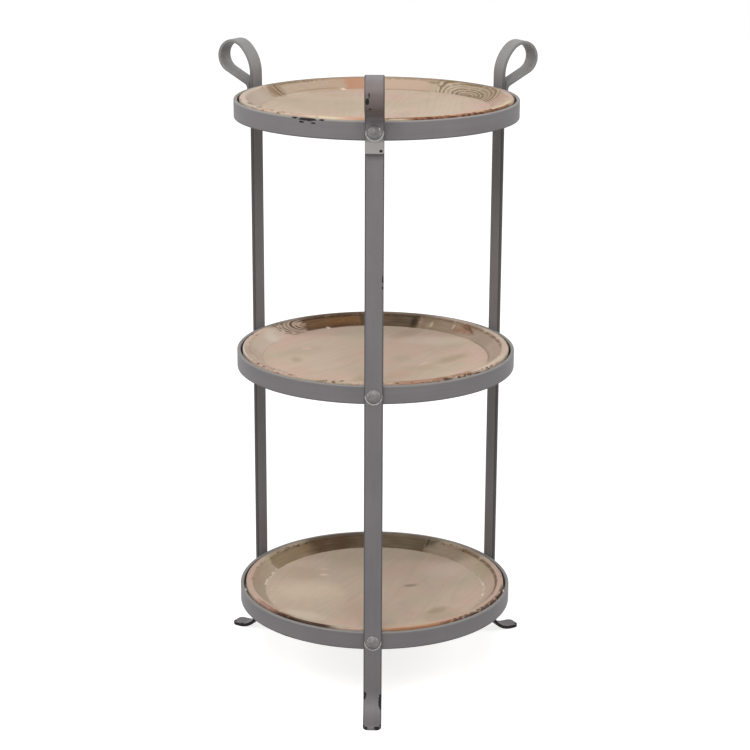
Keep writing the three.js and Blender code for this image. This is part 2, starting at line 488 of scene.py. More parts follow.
@dataclass(frozen=True)
class BrushedPaint:
    """Satin grey paint brushed along a flat bar by hand, chipped here and there to black iron."""

    name: str
    light: Colour
    dark: Colour
    low_edge_grime_and_shade: Colour
    high_edge_grime_shade_highlight: Colour
    chips: tuple[Chip, ...] = ()
    painted_lights: tuple[PaintedLight, ...] = ()
    tool_marks: tuple[tuple[float, float], ...] = ()
    iron: Colour = tint(30, 26, 25)
    bright: Colour = tint(196, 194, 190)
    half_width: float = BAR_WIDTH / 2
    half_thickness: float = BAR_THICKNESS / 2
    edge_strength: float = 0.8
    edge_start: float = 0.0022
    edge_full: float = 0.0009
    edge_uneven: float = 0.0008
    edge_turn: float = 0.001
    chip_start: float = 0.96
    chip_fade: float = 60.0
    chip_ragged: float = 1.3
    mark_radius: float = 0.0111
    mark_uneven: float = 0.0016
    mark_fade: float = 0.0010
    mark_full: float = 0.0005
    mark_end: float = 0.004
    mark_start: float = -0.003
    paint_thickness: float = 0.00018
    stroke_height: float = 0.00005
    cloud_height: float = 0.0004
    stroke_grain: Point = (7, 260, 260)
    broad_grain: Point = (9, 55, 55)
    cloud_grain: Point = (14, 14, 14)
    fleck_grain: Point = (420, 620, 620)
    group_grain: Point = (11, 8, 8)
    ragged_grain: Point = (380, 420, 420)

    def material(self) -> bpy.types.Material:
        """Builds the paint.

        Returns:
            The finished material.
        """
        material, graph = new_material(self.name)
        bar = graph.attribute("bar")
        strokes = graph.noise(bar, self.stroke_grain, 3, 0.55)
        broad = graph.noise(bar, self.broad_grain, 2)
        cloud = graph.noise(graph.position(), self.cloud_grain, 2)
        flecks = graph.noise(bar, self.fleck_grain, 3, 0.6)
        at = BarPlace(bar, *graph.split(bar), broad, cloud, flecks)

        tone = strokes * 0.3 + broad * 0.35 + cloud * 0.45
        colour = graph.mix(tone.step(0.3, 0.8), self.dark, self.light)
        colour = self._edged(graph, colour, at)
        # Painted light: darker lengths stand for shade, lighter ones for highlights
        colour = self._painted_light(graph, colour, at)
        chipped = self._chipped(graph, at)
        colour = graph.mix(chipped, colour, self.iron)
        colour = self._scratched(graph, colour, at)

        height = (1 - chipped) * self.paint_thickness + strokes * self.stroke_height
        graph.surface(
            {"Specular IOR Level": 0.42, "IOR": 1.48},
            {
                "Base Color": colour,
                "Roughness": 0.46 + strokes * 0.16 + chipped * 0.12,
                "Metallic": chipped * 0.5,
                "Normal": graph.bump(height + cloud * self.cloud_height),
            },
        )
        return material

    def _edged(self, graph: Graph, colour: Signal, at: BarPlace) -> Signal:
        """Paints the bar's two long edges darker with grime and painted shade, and the hoops' upper edge
        lighter as a painted highlight.

        Args:
            graph: The material's graph.
            colour: The colour so far.
            at: The place on the bar.

        Returns:
            The colour with the edges.
        """
        uneven = abs(at.across) + (at.broad - 0.5) * self.edge_uneven
        rim = uneven.step(self.half_width - self.edge_start, self.half_width - self.edge_full)
        high = at.across.step(-self.edge_turn, self.edge_turn)
        # Edge tone: grime with painted shade where darker, a painted highlight where lighter
        side = graph.mix(high, self.low_edge_grime_and_shade, self.high_edge_grime_shade_highlight)
        return graph.mix(rim * self.edge_strength, colour, side)

    def _painted_light(self, graph: Graph, colour: Signal, at: BarPlace) -> Signal:
        """Lays the lengths of painted shade and painted highlight over a colour.

        Args:
            graph: The material's graph.
            colour: The colour so far.
            at: The place on the bar.

        Returns:
            The colour with the painted shade and highlights.
        """
        for lit_length in self.painted_lights:
            near = abs(at.along - lit_length.along) * (2 / lit_length.length) + (at.broad - 0.5) * 0.5
            colour = graph.mix(near.step(1.2, 0.5) * lit_length.strength, colour, lit_length.colour)
        return colour

    def _chipped(self, graph: Graph, at: BarPlace) -> Signal:
        """Finds where the paint is gone: in flecks along the arrises, and in the named chips.

        Args:
            graph: The material's graph.
            at: The place on the bar.

        Returns:
            1 on bare iron and 0 on paint.
        """
        inset = (self.half_width - abs(at.across), self.half_thickness - abs(at.depth))
        groups = graph.noise(at.bar, self.group_grain, 1)
        bare = at.flecks + groups * 0.45 - graph.length(graph.vector(*inset, 0.0)) * self.chip_fade
        chipped = bare.step(self.chip_start, self.chip_start + 0.03)
        ragged = (graph.noise(at.bar, self.ragged_grain, 3, 0.65) - 0.5) * self.chip_ragged
        for chip in self.chips:
            along = (at.along - chip.along) * (2 / chip.length)
            across = (at.across - chip.across) * (2 / chip.width)
            away = graph.length(graph.vector(along, across, 0.0))
            chipped = chipped | (away + ragged).step(1.0, 0.85)
        return chipped

    def _scratched(self, graph: Graph, colour: Signal, at: BarPlace) -> Signal:
        """Draws the bright half rings that the riveting tool left.

        Args:
            graph: The material's graph.
            colour: The colour so far.
            at: The place on the bar.

        Returns:
            The colour with the half rings.
        """
        for mark, upward in self.tool_marks:
            away = graph.length(graph.vector(at.along - mark, at.across, 0.0))
            off = abs(away + (at.broad - 0.5) * self.mark_uneven - self.mark_radius)
            ring = off.step(self.mark_fade, self.mark_full)
            half = ((at.along - mark) * upward).step(self.mark_end, self.mark_start)
            half = half * at.cloud.step(0.3, 0.45)
            colour = graph.mix(ring * half * at.flecks.step(0.36, 0.5), colour, self.bright)
        return colour


@dataclass(frozen=True)
class RivetPaint:
    """The same grey paint on a hammered rivet, scuffed bright round the edge of its head, with grime and
    painted shade round its foot.
    """

    name: str
    light: Colour
    dark: Colour
    bright: Colour = tint(205, 202, 198)
    grime_and_crease_shade: Colour = tint(52, 48, 46)
    head_radius: float = 0.0095
    scuff_strength: float = 0.45
    grime_and_crease_shade_strength: float = 0.6
    mottle_height: float = 0.0004
    scuff_depth: float = 0.0001
    mottle_grain: Point = (220, 220, 220)
    scuff_grain: Point = (330, 330, 330)

    def material(self) -> bpy.types.Material:
        """Builds the paint.

        Returns:
            The finished material.
        """
        material, graph = new_material(self.name)
        radius = graph.split(graph.attribute("bar"))[1]
        place = graph.position()
        mottle = graph.noise(place, self.mottle_grain, 3, 0.6)
        edge = radius.step(self.head_radius * 0.62, self.head_radius * 0.95)
        scuff = (graph.noise(place, self.scuff_grain, 3, 0.7) + edge * 0.12).step(0.64, 0.76)
        foot = radius.step(self.head_radius * 0.93, self.head_radius)
        colour = graph.mix(mottle.step(0.3, 0.7), self.dark, self.light)
        colour = graph.mix(scuff * self.scuff_strength, colour, self.bright)
        # Grime and painted shade in the crease round the head's foot
        colour = graph.mix(foot * self.grime_and_crease_shade_strength, colour, self.grime_and_crease_shade)
        graph.surface(
            {"Specular IOR Level": 0.5, "IOR": 1.5},
            {
                "Base Color": colour,
                "Roughness": 0.42 - scuff * 0.12,
                "Metallic": scuff * 0.6,
                "Normal": graph.bump(mottle * self.mottle_height - scuff * self.scuff_depth),
            },
        )
        return material


@dataclass(frozen=True)
class Mark:
    """A spot or smear on the wood, in plan metres from the tray's middle."""

    x: float
    y: float
    length: float
    width: float
    angle: float
    colour: Colour
    strength: float
    ragged: float = 0.5


@dataclass(frozen=True)
class Stretch:
    """A stretch round a tray's wall or rim with a tone of its own, between two angles from +X; the
    stretches marked where they are listed are painted shade or a painted highlight instead, in part or in
    whole.
    """

    start: float
    end: float
    colour: Colour
    strength: float
    low: float = 0.1585
    high: float = 0.1768
    broken: float = 0.0
    soft: float = 0.16


@dataclass(frozen=True)
class Figure:
    """Nested growth rings laid open where the wall is cut through a board."""

    angle: float
    reach: float
    pitch: float
    stretch: float
    rings: float
    colour: Colour
    strength: float
    halved: bool = False


@dataclass(frozen=True)
class AgedWood:
    """Whitewashed fir boards turned to a dish, with brown heartwood where the wash is gone."""

    name: str
    grain_angle: float
    board_shift: float
    wash: Colour
    pink: Colour
    green: Colour
    marks: tuple[Mark, ...] = ()
    stretches: tuple[Stretch, ...] = ()
    figures: tuple[Figure, ...] = ()
    board_width: float = 0.0575
    seam_width: float = 0.0006
    early: Colour = tint(190, 154, 116)
    late: Colour = tint(122, 84, 54)
    worn: Colour = tint(160, 122, 92)
    soot: Colour = tint(62, 42, 30)
    ring_pitch: float = 0.0052
    ring_drift: float = 0.002
    heart_aside: float = 0.06
    heart_depth: float = 0.012
    heart_spread: float = 0.045
    heart_slope: float = 0.16
    heart_sway: float = 0.014
    wash_level: float = 0.93
    wall_foot: float = 0.1582
    wall_soft: float = 0.0006
    wall_radius: float = 0.17
    band_uneven: float = 0.0012
    low_soft: float = 0.0005
    high_soft: float = 0.0006
    half_start: float = -0.004
    half_full: float = 0.006
    sway: float = 0.3
    jag: float = 0.1
    seed: float = 0.0
    fibre_height: float = 0.00001
    patch_height: float = 0.0002
    seam_depth: float = 0.0001
    cloud_grain: Point = (8, 13, 9)
    green_grain: Point = (10, 16, 12)
    patch_grain: Point = (30, 90, 60)
    nick_grain: Point = (160, 160, 160)
    trunk_grain: Point = (5, 1.2, 1)
    drift_grain: Point = (16, 40, 40)
    fibre_grain: Point = (22, 900, 700)
    sway_grain: Point = (16, 16, 40)
    jag_grain: Point = (60, 60, 140)
    speckle_grain: Point = (130, 130, 220)
    streak_grain: Point = (18, 18, 520)
    wave_grain: Point = (34, 34, 70)
    figure_grain: Point = (75, 75, 120)
    mark_grain: Point = (60, 60, 60)

    def material(self, centre: Vector) -> bpy.types.Material:
        """Builds the wood for a tray.

        Args:
            centre: The middle of the tray's underside.

        Returns:
            The finished material.
        """
        material, graph = new_material(self.name)
        place = graph.combine("SUBTRACT", graph.position(), tuple(centre))
        boards = graph.turn(place, -self.grain_angle)
        along, across, depth = graph.split(boards)
        counted = across / self.board_width + self.board_shift
        board = counted.whole()
        inside = counted - board
        chance = graph.split(graph.chance(board + self.seed, "Color"))
        rings, fibres = self._grain(graph, boards, (along, inside, depth), chance)
        cloud, washed = self._washed(graph, boards, fibres, chance)

        bare = graph.mix(rings, self.early, self.late)
        bare = graph.mix(fibres.step(0.45, 0.8) * 0.35, bare, self.soot)
        wear = graph.attribute("wear", "Fac")
        patchy = graph.noise(boards, self.patch_grain, 3, 0.6)
        cover = self.wash_level - rings * 0.005 - (patchy - 0.5) * 0.12 - wear * 0.3
        colour = graph.mix(cover, bare, washed)
        shade = (chance[2] - 0.2) * 0.03 + (cloud - 0.4) * 0.1
        colour = graph.mix(shade, colour, self.late, "MULTIPLY")
        half = self.board_width / 2
        seam = (abs(inside - 0.5) * self.board_width).step(half - self.seam_width, half)
        colour = graph.mix(seam * 0.05, colour, self.soot)

        flat = graph.combine("MULTIPLY", place, (1.0, 1.0, 0.0))
        radius = graph.length(flat)
        colour = self._stretched(graph, colour, place, flat, radius)
        colour = self._figured(graph, colour, place, radius)
        colour = self._marked(graph, colour, place)
        rubbed = (wear + (patchy - 0.5) * 0.9).step(0.55, 0.85)
        colour = graph.mix(rubbed * 0.4, colour, self.worn)
        nicks = graph.noise(place, self.nick_grain, 3, 0.7) - 0.5
        colour = graph.mix((wear + nicks * 0.8).step(0.93, 1.0) * 0.7, colour, self.soot)

        height = fibres * self.fibre_height + rings * self.fibre_height
        height = height + patchy * self.patch_height - seam * self.seam_depth
        graph.surface(
            {"Specular IOR Level": 0.3, "IOR": 1.45},
            {"Base Color": colour, "Roughness": 0.74 + patchy * 0.14, "Normal": graph.bump(height)},
        )
        return material

    def _grain(
        self,
        graph: Graph,
        boards: Signal,
        within: tuple[Signal, Signal, Signal],
        chance: tuple[Signal, Signal, Signal],
    ) -> tuple[Signal, Signal]:
        """Cuts each board from its own trunk.

        Args:
            graph: The material's graph.
            boards: The place, turned to the boards.
            within: Place along the board, share of the way across it, and height above the underside.
            chance: Three random values of the board.

        Returns:
            The late wood of the rings and the fibre streaks, each from 0 to 1.
        """
        along, inside, depth = within
        first, second, third = chance
        slow = graph.noise(graph.vector(along, inside, first * 9), self.trunk_grain, 2)
        drift = graph.noise(boards, self.drift_grain, 2)
        beside = (inside - 0.5) * self.board_width - (second - 0.5) * self.heart_aside
        below = depth + self.heart_depth + third * self.heart_spread
        below = below + along * (first - 0.5) * self.heart_slope + slow * self.heart_sway
        radius = graph.length(graph.vector(beside, below, 0.0))
        phase = ((radius + drift * self.ring_drift) / self.ring_pitch).part()
        rings = phase.step(0.25, 0.92) * (1 - phase.step(0.93, 1.0))
        return rings, graph.noise(boards, self.fibre_grain, 3, 0.6)

    def _washed(
        self, graph: Graph, boards: Signal, fibres: Signal, chance: tuple[Signal, Signal, Signal]
    ) -> tuple[Signal, Signal]:
        """Brushes the cloudy wash over the boards.

        Args:
            graph: The material's graph.
            boards: The place, turned to the boards.
            fibres: The fibre streaks, from 0 to 1.
            chance: Three random values of the board.

        Returns:
            The clouds, from 0 to 1, and the colour of the wash.
        """
        moved = graph.combine("ADD", boards, (self.seed, 4.1, 0.7))
        cloud = graph.noise(moved, self.cloud_grain, 3, 0.55)
        other = graph.noise(graph.combine("ADD", moved, (7.7, 0, 0)), self.green_grain, 3)
        pink = (cloud + (chance[0] - 0.5) * 0.12).step(0.36, 0.68)
        green = (other + (chance[1] - 0.5) * 0.12).step(0.44, 0.74) * 0.85
        washed = graph.mix(green, graph.mix(pink, self.wash, self.pink), self.green)
        return cloud, graph.mix(fibres.step(0.42, 0.75) * 0.02, washed, self.late)

    def _stretched(
        self, graph: Graph, colour: Signal, place: Signal, flat: Signal, radius: Signal
    ) -> Signal:
        """Lays the tones of the wall's and rim's stretches over a colour.

        Args:
            graph: The material's graph.
            colour: The colour so far.
            place: The place from the middle of the tray's underside.
            flat: The same place without its height.
            radius: Distance from the tray's axis.

        Returns:
            The colour with the stretches.
        """
        heading = graph.node("ShaderNodeVectorMath", {"operation": "NORMALIZE"}, {0: flat})
        slow = graph.noise(place, self.sway_grain, 2) - 0.5
        quick = graph.noise(place, self.jag_grain, 3, 0.6) - 0.5
        ragged = slow * self.sway + quick * self.jag
        speckle = graph.noise(place, self.speckle_grain, 2, 0.55)
        band = radius + quick * self.band_uneven
        around = graph.combine("MULTIPLY", heading, (self.wall_radius, self.wall_radius, 0.0))
        around = graph.combine("ADD", around, graph.vector(0.0, 0.0, radius))
        streaks = graph.noise(around, self.streak_grain, 2, 0.55) - 0.5
        for stretch in self.stretches:
            angle = math.radians((stretch.start + stretch.end) / 2)
            half = math.radians((stretch.end - stretch.start) / 2)
            middle = (math.cos(angle), math.sin(angle), 0.0)
            away = graph.combine("DOT_PRODUCT", heading, middle, 1).angle()
            within = (away + ragged).step(half + stretch.soft / 2, half - stretch.soft / 2)
            low, high = stretch.low, stretch.high
            within = within * band.step(low - self.low_soft, low + self.low_soft)
            within = within * band.step(high + self.high_soft, high - self.high_soft)
            if stretch.broken:
                within = within * speckle.step(stretch.broken, stretch.broken + 0.12)
            share = within * (slow * 0.5 + streaks * 0.4 + stretch.strength)
            colour = graph.mix(share, colour, stretch.colour)
        return colour

    def _figured(self, graph: Graph, colour: Signal, place: Signal, radius: Signal) -> Signal:
        """Lays the nested rings over the wall's colour.

        Args:
            graph: The material's graph.
            colour: The colour so far.
            place: The place from the middle of the tray's underside.
            radius: Distance from the tray's axis.

        Returns:
            The colour with the rings.
        """
        wave = graph.noise(place, self.wave_grain, 3) - 0.5
        patchy = graph.noise(place, self.figure_grain, 2)
        wall = radius.step(self.wall_foot, self.wall_foot + self.wall_soft)
        for figure in self.figures:
            angle = math.radians(figure.angle)
            middle = (figure.reach * math.cos(angle), figure.reach * math.sin(angle), 0.0)
            turned = graph.turn(graph.combine("SUBTRACT", place, middle), -figure.angle)
            scaled = graph.combine("MULTIPLY", turned, (1.0, 1 / figure.stretch, 0.0))
            counted = graph.length(scaled) / figure.pitch + wave * 1.9
            phase = counted.part()
            line = phase.step(0.05, 0.45) * (1 - phase.step(0.62, 0.95))
            bold = patchy.step(0.3, 0.5) * (graph.chance(counted.whole(), "Value") * 0.5 + 0.5)
            within = counted.step(figure.rings, figure.rings - 2.0) * wall
            if figure.halved:
                within = within * graph.split(turned)[1].step(self.half_start, self.half_full)
            colour = graph.mix(line * within * bold * figure.strength, colour, figure.colour)
        return colour

    def _marked(self, graph: Graph, colour: Signal, place: Signal) -> Signal:
        """Lays the spots and smears over a colour.

        Args:
            graph: The material's graph.
            colour: The colour so far.
            place: The place from the middle of the tray's underside.

        Returns:
            The colour with the marks.
        """
        uneven = graph.noise(place, self.mark_grain, 3, 0.6) - 0.5
        for mark in self.marks:
            moved = graph.combine("SUBTRACT", place, (mark.x, mark.y, 0.0))
            turned = graph.turn(moved, -mark.angle)
            scaled = graph.combine("MULTIPLY", turned, (2 / mark.length, 2 / mark.width, 0.0))
            within = (graph.length(scaled) + uneven * mark.ragged * 2).step(1.3, 0.25)
            colour = graph.mix(within * mark.strength, colour, mark.colour)
        return colour


# Sub-assemblies


@dataclass(frozen=True)
class BarStock:
    """The flat bar that the legs and the hoops are bent from."""

    width: float = BAR_WIDTH
    thickness: float = BAR_THICKNESS
    edge_radius: float = 0.0012
    edge_steps: int = 3
    hold: float = 0.0004
    face_steps: int = 4
    edge_share: float = 0.55

    def section(self) -> np.ndarray:
        """Lists the points round the bar's section.

        Returns:
            For each point its side and its face, from -1 to 1, and the across and depth parts of its
            place round the rounded edge.
        """
        points: list[tuple[float, float, float, float]] = []
        for corner, (side, face) in enumerate(((1, 1), (-1, 1), (-1, -1), (1, -1))):
            for step in range(self.edge_steps + 1):
                angle = math.radians(90 * (corner + step / self.edge_steps))
                points.append((side, face, math.cos(angle), math.sin(angle)))
            if corner % 2 == 0:
                points.extend((side * share, face, 0.0, float(face)) for share in self._shares())
            else:
                shares = (self.edge_share, -self.edge_share)
                points.extend((side, face * share, float(side), 0.0) for share in shares)
        return np.array(points)

    def _shares(self) -> Iterator[float]:
        """Gives the places of the points across a wide face.

        Yields:
            The places from side to side, as shares of the half width.
        """
        held = 1 - 2 * self.hold / self.width
        for step in range(self.face_steps + 1):
            yield held * (1 - 2 * step / self.face_steps)

    def ring(
        self, half_width: float, half_thickness: float, radius: float
    ) -> tuple[np.ndarray, np.ndarray]:
        """Places the section's points for a bar of some width and thickness.

        Args:
            half_width: Half of the width.
            half_thickness: Half of the thickness.
            radius: Radius of the edges.

        Returns:
            The across and the depth of each point.
        """
        section = self.section()
        across = section[:, 0] * (half_width - radius) + radius * section[:, 2]
        depth = section[:, 1] * (half_thickness - radius) + radius * section[:, 3]
        return across, depth


@dataclass
class Leg:
    """A leg: one bar from the foot up the side, round the loop and down again as the lap."""

    facing: Facing
    number: int
    stock: BarStock = field(default_factory=BarStock)
    inner: float = 0.1946
    foot_length: float = 0.0505
    foot_bend: float = 0.032
    foot_corner: float = 0.008
    lean_radius: float = 0.0517
    lean_angle: float = 49.0
    crown_radius: float = 0.0214
    neck_radius: float = 0.009
    neck_angle: float = 63.2
    kick_radius: float = 0.014
    kick_angle: float = 8.0
    kick_length: float = 0.016
    lap_corner: float = 0.003
    lap_gap: float = SEAT_GAP
    rivet_height: float = 0.8115
    rivet_reach: float = 0.0098
    straight_step: float = 0.006
    bend_step: float = 3.0
    corner_steps: int = 6
    end_shrink: float = 0.999

    def path(self) -> np.ndarray:
        """Bends the bar's middle line, as on a jig.

        Returns:
            Stations along the bar: reach from the axis, height, heading and distance from the foot's tip.
        """
        stations = [(self.inner + self.foot_length, self.stock.thickness / 2, math.pi, 0.0)]

        def run(length: float) -> None:
            """Adds a straight run.

            Args:
                length: The run's length.
            """
            x, z, heading, gone = stations[-1]
            steps = max(1, math.ceil(length / self.straight_step))
            for step in range(1, steps + 1):
                far = length * step / steps
                place = (x + far * math.cos(heading), z + far * math.sin(heading))
                stations.append((*place, heading, gone + far))

        def bend(radius: float, degrees: float) -> None:
            """Adds a bend.

            Args:
                radius: Radius of the middle line.
                degrees: Angle of the bend, to the left where positive.
            """
            x, z, heading, gone = stations[-1]
            turn = math.radians(degrees)
            reach = math.copysign(radius, turn)
            steps = math.ceil(abs(degrees) / self.bend_step)
            for step in range(1, steps + 1):
                now = heading + turn * step / steps
                x_now = x + reach * (math.sin(now) - math.sin(heading))
                z_now = z - reach * (math.cos(now) - math.cos(heading))
                stations.append((x_now, z_now, now, gone + abs(turn) * radius * step / steps))

        lean, neck = math.radians(self.lean_angle), math.radians(self.neck_angle)
        half = self.stock.thickness / 2
        middle = self.inner + half
        foot_middle = self.foot_bend + half
        offset = self.lean_radius * (1 - math.cos(lean))
        offset = offset + self.crown_radius * (math.cos(lean) + math.cos(neck))
        beside = self.stock.thickness + self.lap_gap + self.neck_radius * (1 - math.cos(neck))
        back = (offset - beside) / math.sin(neck)
        drop = (
            self.crown_radius * (math.sin(lean) + math.sin(neck))
            + back * math.cos(neck)
            + self.neck_radius * math.sin(neck)
            - self.lean_radius * math.sin(lean)
        )
        run(self.inner + self.foot_length - middle - foot_middle)
        bend(foot_middle, -90)
        run(self.rivet_height + self.rivet_reach + drop - stations[-1][1])
        bend(self.lean_radius, -self.lean_angle)
        bend(self.crown_radius, self.lean_angle - self.neck_angle - 180)
        run(back)
        bend(self.neck_radius, self.neck_angle)
        run(2 * self.rivet_reach)
        bend(self.kick_radius, self.kick_angle)
        run(self.kick_length)
        return np.array(stations)

    def _widths(self, gone: float, length: float) -> tuple[float, float, float]:
        """Narrows the bar at its rounded ends.

        Args:
            gone: Distance from the foot's tip.
            length: The bar's whole length.

        Returns:
            The half width, half thickness and edge radius there.
        """
        stock = self.stock
        half_width, half_thickness, radius = stock.width / 2, stock.thickness / 2, stock.edge_radius
        for corner, end in ((self.foot_corner, gone), (self.lap_corner, length - gone)):
            if end < corner:
                narrow = stock.width / 2 - corner + math.sqrt(corner**2 - (corner - end) ** 2)
                half_width = min(half_width, narrow)
            if end < radius:
                shrink = radius - math.sqrt(radius**2 - (radius - end) ** 2)
                left = radius - shrink * self.end_shrink
                return half_width - shrink, half_thickness - shrink, left
        return half_width, half_thickness, radius

    def _stations(self) -> np.ndarray:
        """Adds closer stations at both ends, where the corners are rounded.

        Returns:
            The path's stations and the added ones, in order.
        """
        path = self.path()
        length = path[-1, 3]
        extra: list[float] = []
        for corner, start in ((self.foot_corner, 0.0), (self.lap_corner, length)):
            for radius in (corner, self.stock.edge_radius):
                for step in range(self.corner_steps + 1):
                    end = radius * (1 - math.cos(math.pi / 2 * step / self.corner_steps))
                    extra.append(abs(start - end))
        wanted = np.array(sorted(set(np.round(np.concatenate([path[:, 3], extra]), 7))))
        return np.stack([np.interp(wanted, path[:, 3], path[:, k]) for k in range(4)], axis=1)

    def build(self, material: bpy.types.Material) -> None:
        """Makes the leg.

        Args:
            material: The leg's paint.
        """
        stations = self._stations()
        length = stations[-1, 3]
        rings, coords = [], []
        for x, z, heading, gone in stations:
            across, depth = self.stock.ring(*self._widths(gone, length))
            reach, height = x - depth * math.sin(heading), z + depth * math.cos(heading)
            rings.append(np.stack([reach, across, height], axis=1))
            along = np.full_like(across, gone + BAR_PITCH * self.number)
            coords.append(np.stack([along, across, depth], axis=1))
        name = self.facing.label
        leg = skin(f"leg_{name}", np.array(rings)[:, ::-1], False, np.array(coords)[:, ::-1])
        leg.data.transform(outward(self.facing.value, Vector((0, Tier.BOTTOM.centre().y, 0))))
        settle(leg, f"{name}_leg", "metal_frame", material)


@dataclass
class Hoop:
    """A hoop: the flat bar rolled on edge into a ring."""

    tier: Tier
    stock: BarStock = field(default_factory=BarStock)
    steps: int = 360

    def build(self, material: bpy.types.Material) -> None:
        """Makes the hoop.

        Args:
            material: The hoop's paint.
        """
        stock = self.stock
        low, high = self.tier.hoop_box()
        radius = (high.x - low.x) / 2 - stock.thickness / 2
        centre = self.tier.centre()
        across, depth = stock.ring(stock.width / 2, stock.thickness / 2, stock.edge_radius)
        reach = radius + depth
        height = centre.z + stock.width / 2 + across
        start = FIRST_HOOP + BAR_PITCH * self.tier.value
        rings, coords = [], []
        for step in range(self.steps + 1):
            angle = 2 * math.pi * step / self.steps + math.pi / 2
            x, y = centre.x + reach * math.cos(angle), centre.y + reach * math.sin(angle)
            rings.append(np.stack([x, y, height], axis=1))
            along = np.full_like(across, 2 * math.pi * radius * step / self.steps + start)
            coords.append(np.stack([along, across, depth], axis=1))
        name = self.tier.label
        hoop = skin(f"hoop_{name}", np.array(rings[:-1]), True, np.array(coords))
        settle(hoop, f"{name}_hoop", "metal_frame", material)


@dataclass
class Rivet:
    """A rivet: hammered domed head outside, shank through the bars, flat tail inside."""

    tier: Tier
    facing: Facing
    head_radius: float = 0.0095
    head_height: float = 0.005
    shank_radius: float = 0.004
    tail_radius: float = 0.007
    tail_height: float = 0.0015
    tail_seat: float = 0.18902
    tail_edge: float = 0.7
    leg_outer: float = 0.1994
    lap_thickness: float = 0.0051
    seat_gap: float = SEAT_GAP
    hoop_half_height: float = BAR_WIDTH / 2
    dent: float = 0.0003
    dent_size: float = 0.0035
    edge_size: float = 0.009
    edge_uneven: float = 0.04
    sharp_angle: float = 50.0
    around: int = 56
    dome_steps: int = 12

    def _dome(self, radius: float, height: float) -> list[tuple[float, float]]:
        """Lists a low dome's profile.

        Args:
            radius: The dome's radius at its edge.
            height: The dome's height.

        Returns:
            Radius and rise of each point, from the axis to the edge.
        """
        sphere = (radius**2 + height**2) / (2 * height)
        span = math.asin(radius / sphere)
        angles = [span * step / self.dome_steps for step in range(1, self.dome_steps + 1)]
        return [(sphere * math.sin(turn), height - sphere * (1 - math.cos(turn))) for turn in angles]

    def _profile(self, seat: float) -> list[tuple[float, float]]:
        """Lists the rivet's profile, from the tail to the head.

        Args:
            seat: Reach of the face that the head lies on.

        Returns:
            Radius and reach of each point.
        """
        tail = self.tail_seat + self.seat_gap * self.tail_edge
        profile = [(r, self.tail_seat - rise) for r, rise in self._dome(self.tail_radius, self.tail_height)]
        profile += [(self.tail_radius, tail), (self.shank_radius, tail), (self.shank_radius, seat)]
        profile += [(self.head_radius, seat), (self.head_radius, seat + self.seat_gap)]
        head = self._dome(self.head_radius, self.head_height)[::-1]
        return profile + [(r, seat + self.seat_gap + rise) for r, rise in head[1:]]

    def build(self, material: bpy.types.Material) -> None:
        """Makes the rivet.

        Args:
            material: The rivet's paint.
        """
        seat = self.leg_outer + (self.lap_thickness if self.tier is Tier.TOP else 0.0)
        seed = 3.0 * self.tier.value + self.facing.value
        angles = circle(self.around)
        rings, coords = [], []
        for radius, reach in self._profile(seat):
            ring = np.full((self.around, 3), reach)
            ring[:, 1], ring[:, 2] = radius * np.cos(angles), radius * np.sin(angles)
            if reach > seat + self.seat_gap * 1.5:
                for point in ring:
                    dent = 0.5 + 0.5 * wobble(point, self.dent_size, seed)
                    edge = 0.5 + 0.5 * wobble(point, self.edge_size, seed + 7)
                    point[0] -= self.dent * dent
                    point[1:] *= 1 - self.edge_uneven * edge
            rings.append(ring)
            coords.append(np.stack([ring[:, 0], np.full_like(angles, radius), angles], axis=1))
        tier, side = self.tier.label, self.facing.label
        rivet = skin(f"rivet_{tier}_{side}", np.array(rings), False, np.array(coords))
        rivet.data.set_sharp_from_angle(angle=math.radians(self.sharp_angle))
        centre = self.tier.centre() + Vector((0, 0, self.hoop_half_height))
        rivet.data.transform(outward(self.facing.value, centre))
        settle(rivet, f"{tier}_{side}_rivet", "metal_frame", material)


@dataclass
class Lug:
    """A lug: a small flat tab welded inside the hoop's lower edge, that the tray lies on."""

    tier: Tier
    place: LugPlace
    half_width: float = 0.010
    thickness: float = 0.003
    outer: float = 0.18932
    inner: float = 0.17502
    corner: float = 0.004
    bevel: float = 0.0005
    sharp_angle: float = 35.0
    corner_steps: int = 6
    edge_steps: int = 14

    def _outline(self) -> np.ndarray:
        """Lists the lug's outline from above.

        Returns:
            Reach and side of each point, anticlockwise.
        """
        half_angle = math.asin(self.half_width / self.outer)
        points = []
        for step in range(self.edge_steps + 1):
            angle = half_angle * (2 * step / self.edge_steps - 1)
            points.append((self.outer * math.cos(angle), self.outer * math.sin(angle)))
        for side, start in ((1, 90), (-1, 180)):
            x, y = self.inner + self.corner, side * (self.half_width - self.corner)
            for step in range(self.corner_steps + 1):
                angle = math.radians(start + 90 * step / self.corner_steps)
                points.append((x + self.corner * math.cos(angle), y + self.corner * math.sin(angle)))
        return np.array(points)

    def build(self, material: bpy.types.Material) -> None:
        """Makes the lug.

        Args:
            material: The lug's paint.
        """
        outline = self._outline()
        towards = outline.mean(axis=0) - outline
        towards /= np.linalg.norm(towards, axis=1)[:, None]
        top = self.thickness
        levels = ((self.bevel, 0.0), (0.0, self.bevel), (0.0, top - self.bevel), (self.bevel, top))
        rings = [
            np.column_stack([outline + towards * inset, np.full(len(outline), height)])
            for inset, height in levels
        ]
        tier, side = self.tier.label, self.place.label
        lug = skin(f"lug_{tier}_{side}", np.array(rings), False, np.array(rings))
        lug.data.set_sharp_from_angle(angle=math.radians(self.sharp_angle))
        lug.data.transform(outward(self.place.value, self.tier.centre()))
        settle(lug, f"{tier}_{side}_lug", "metal_frame", material)


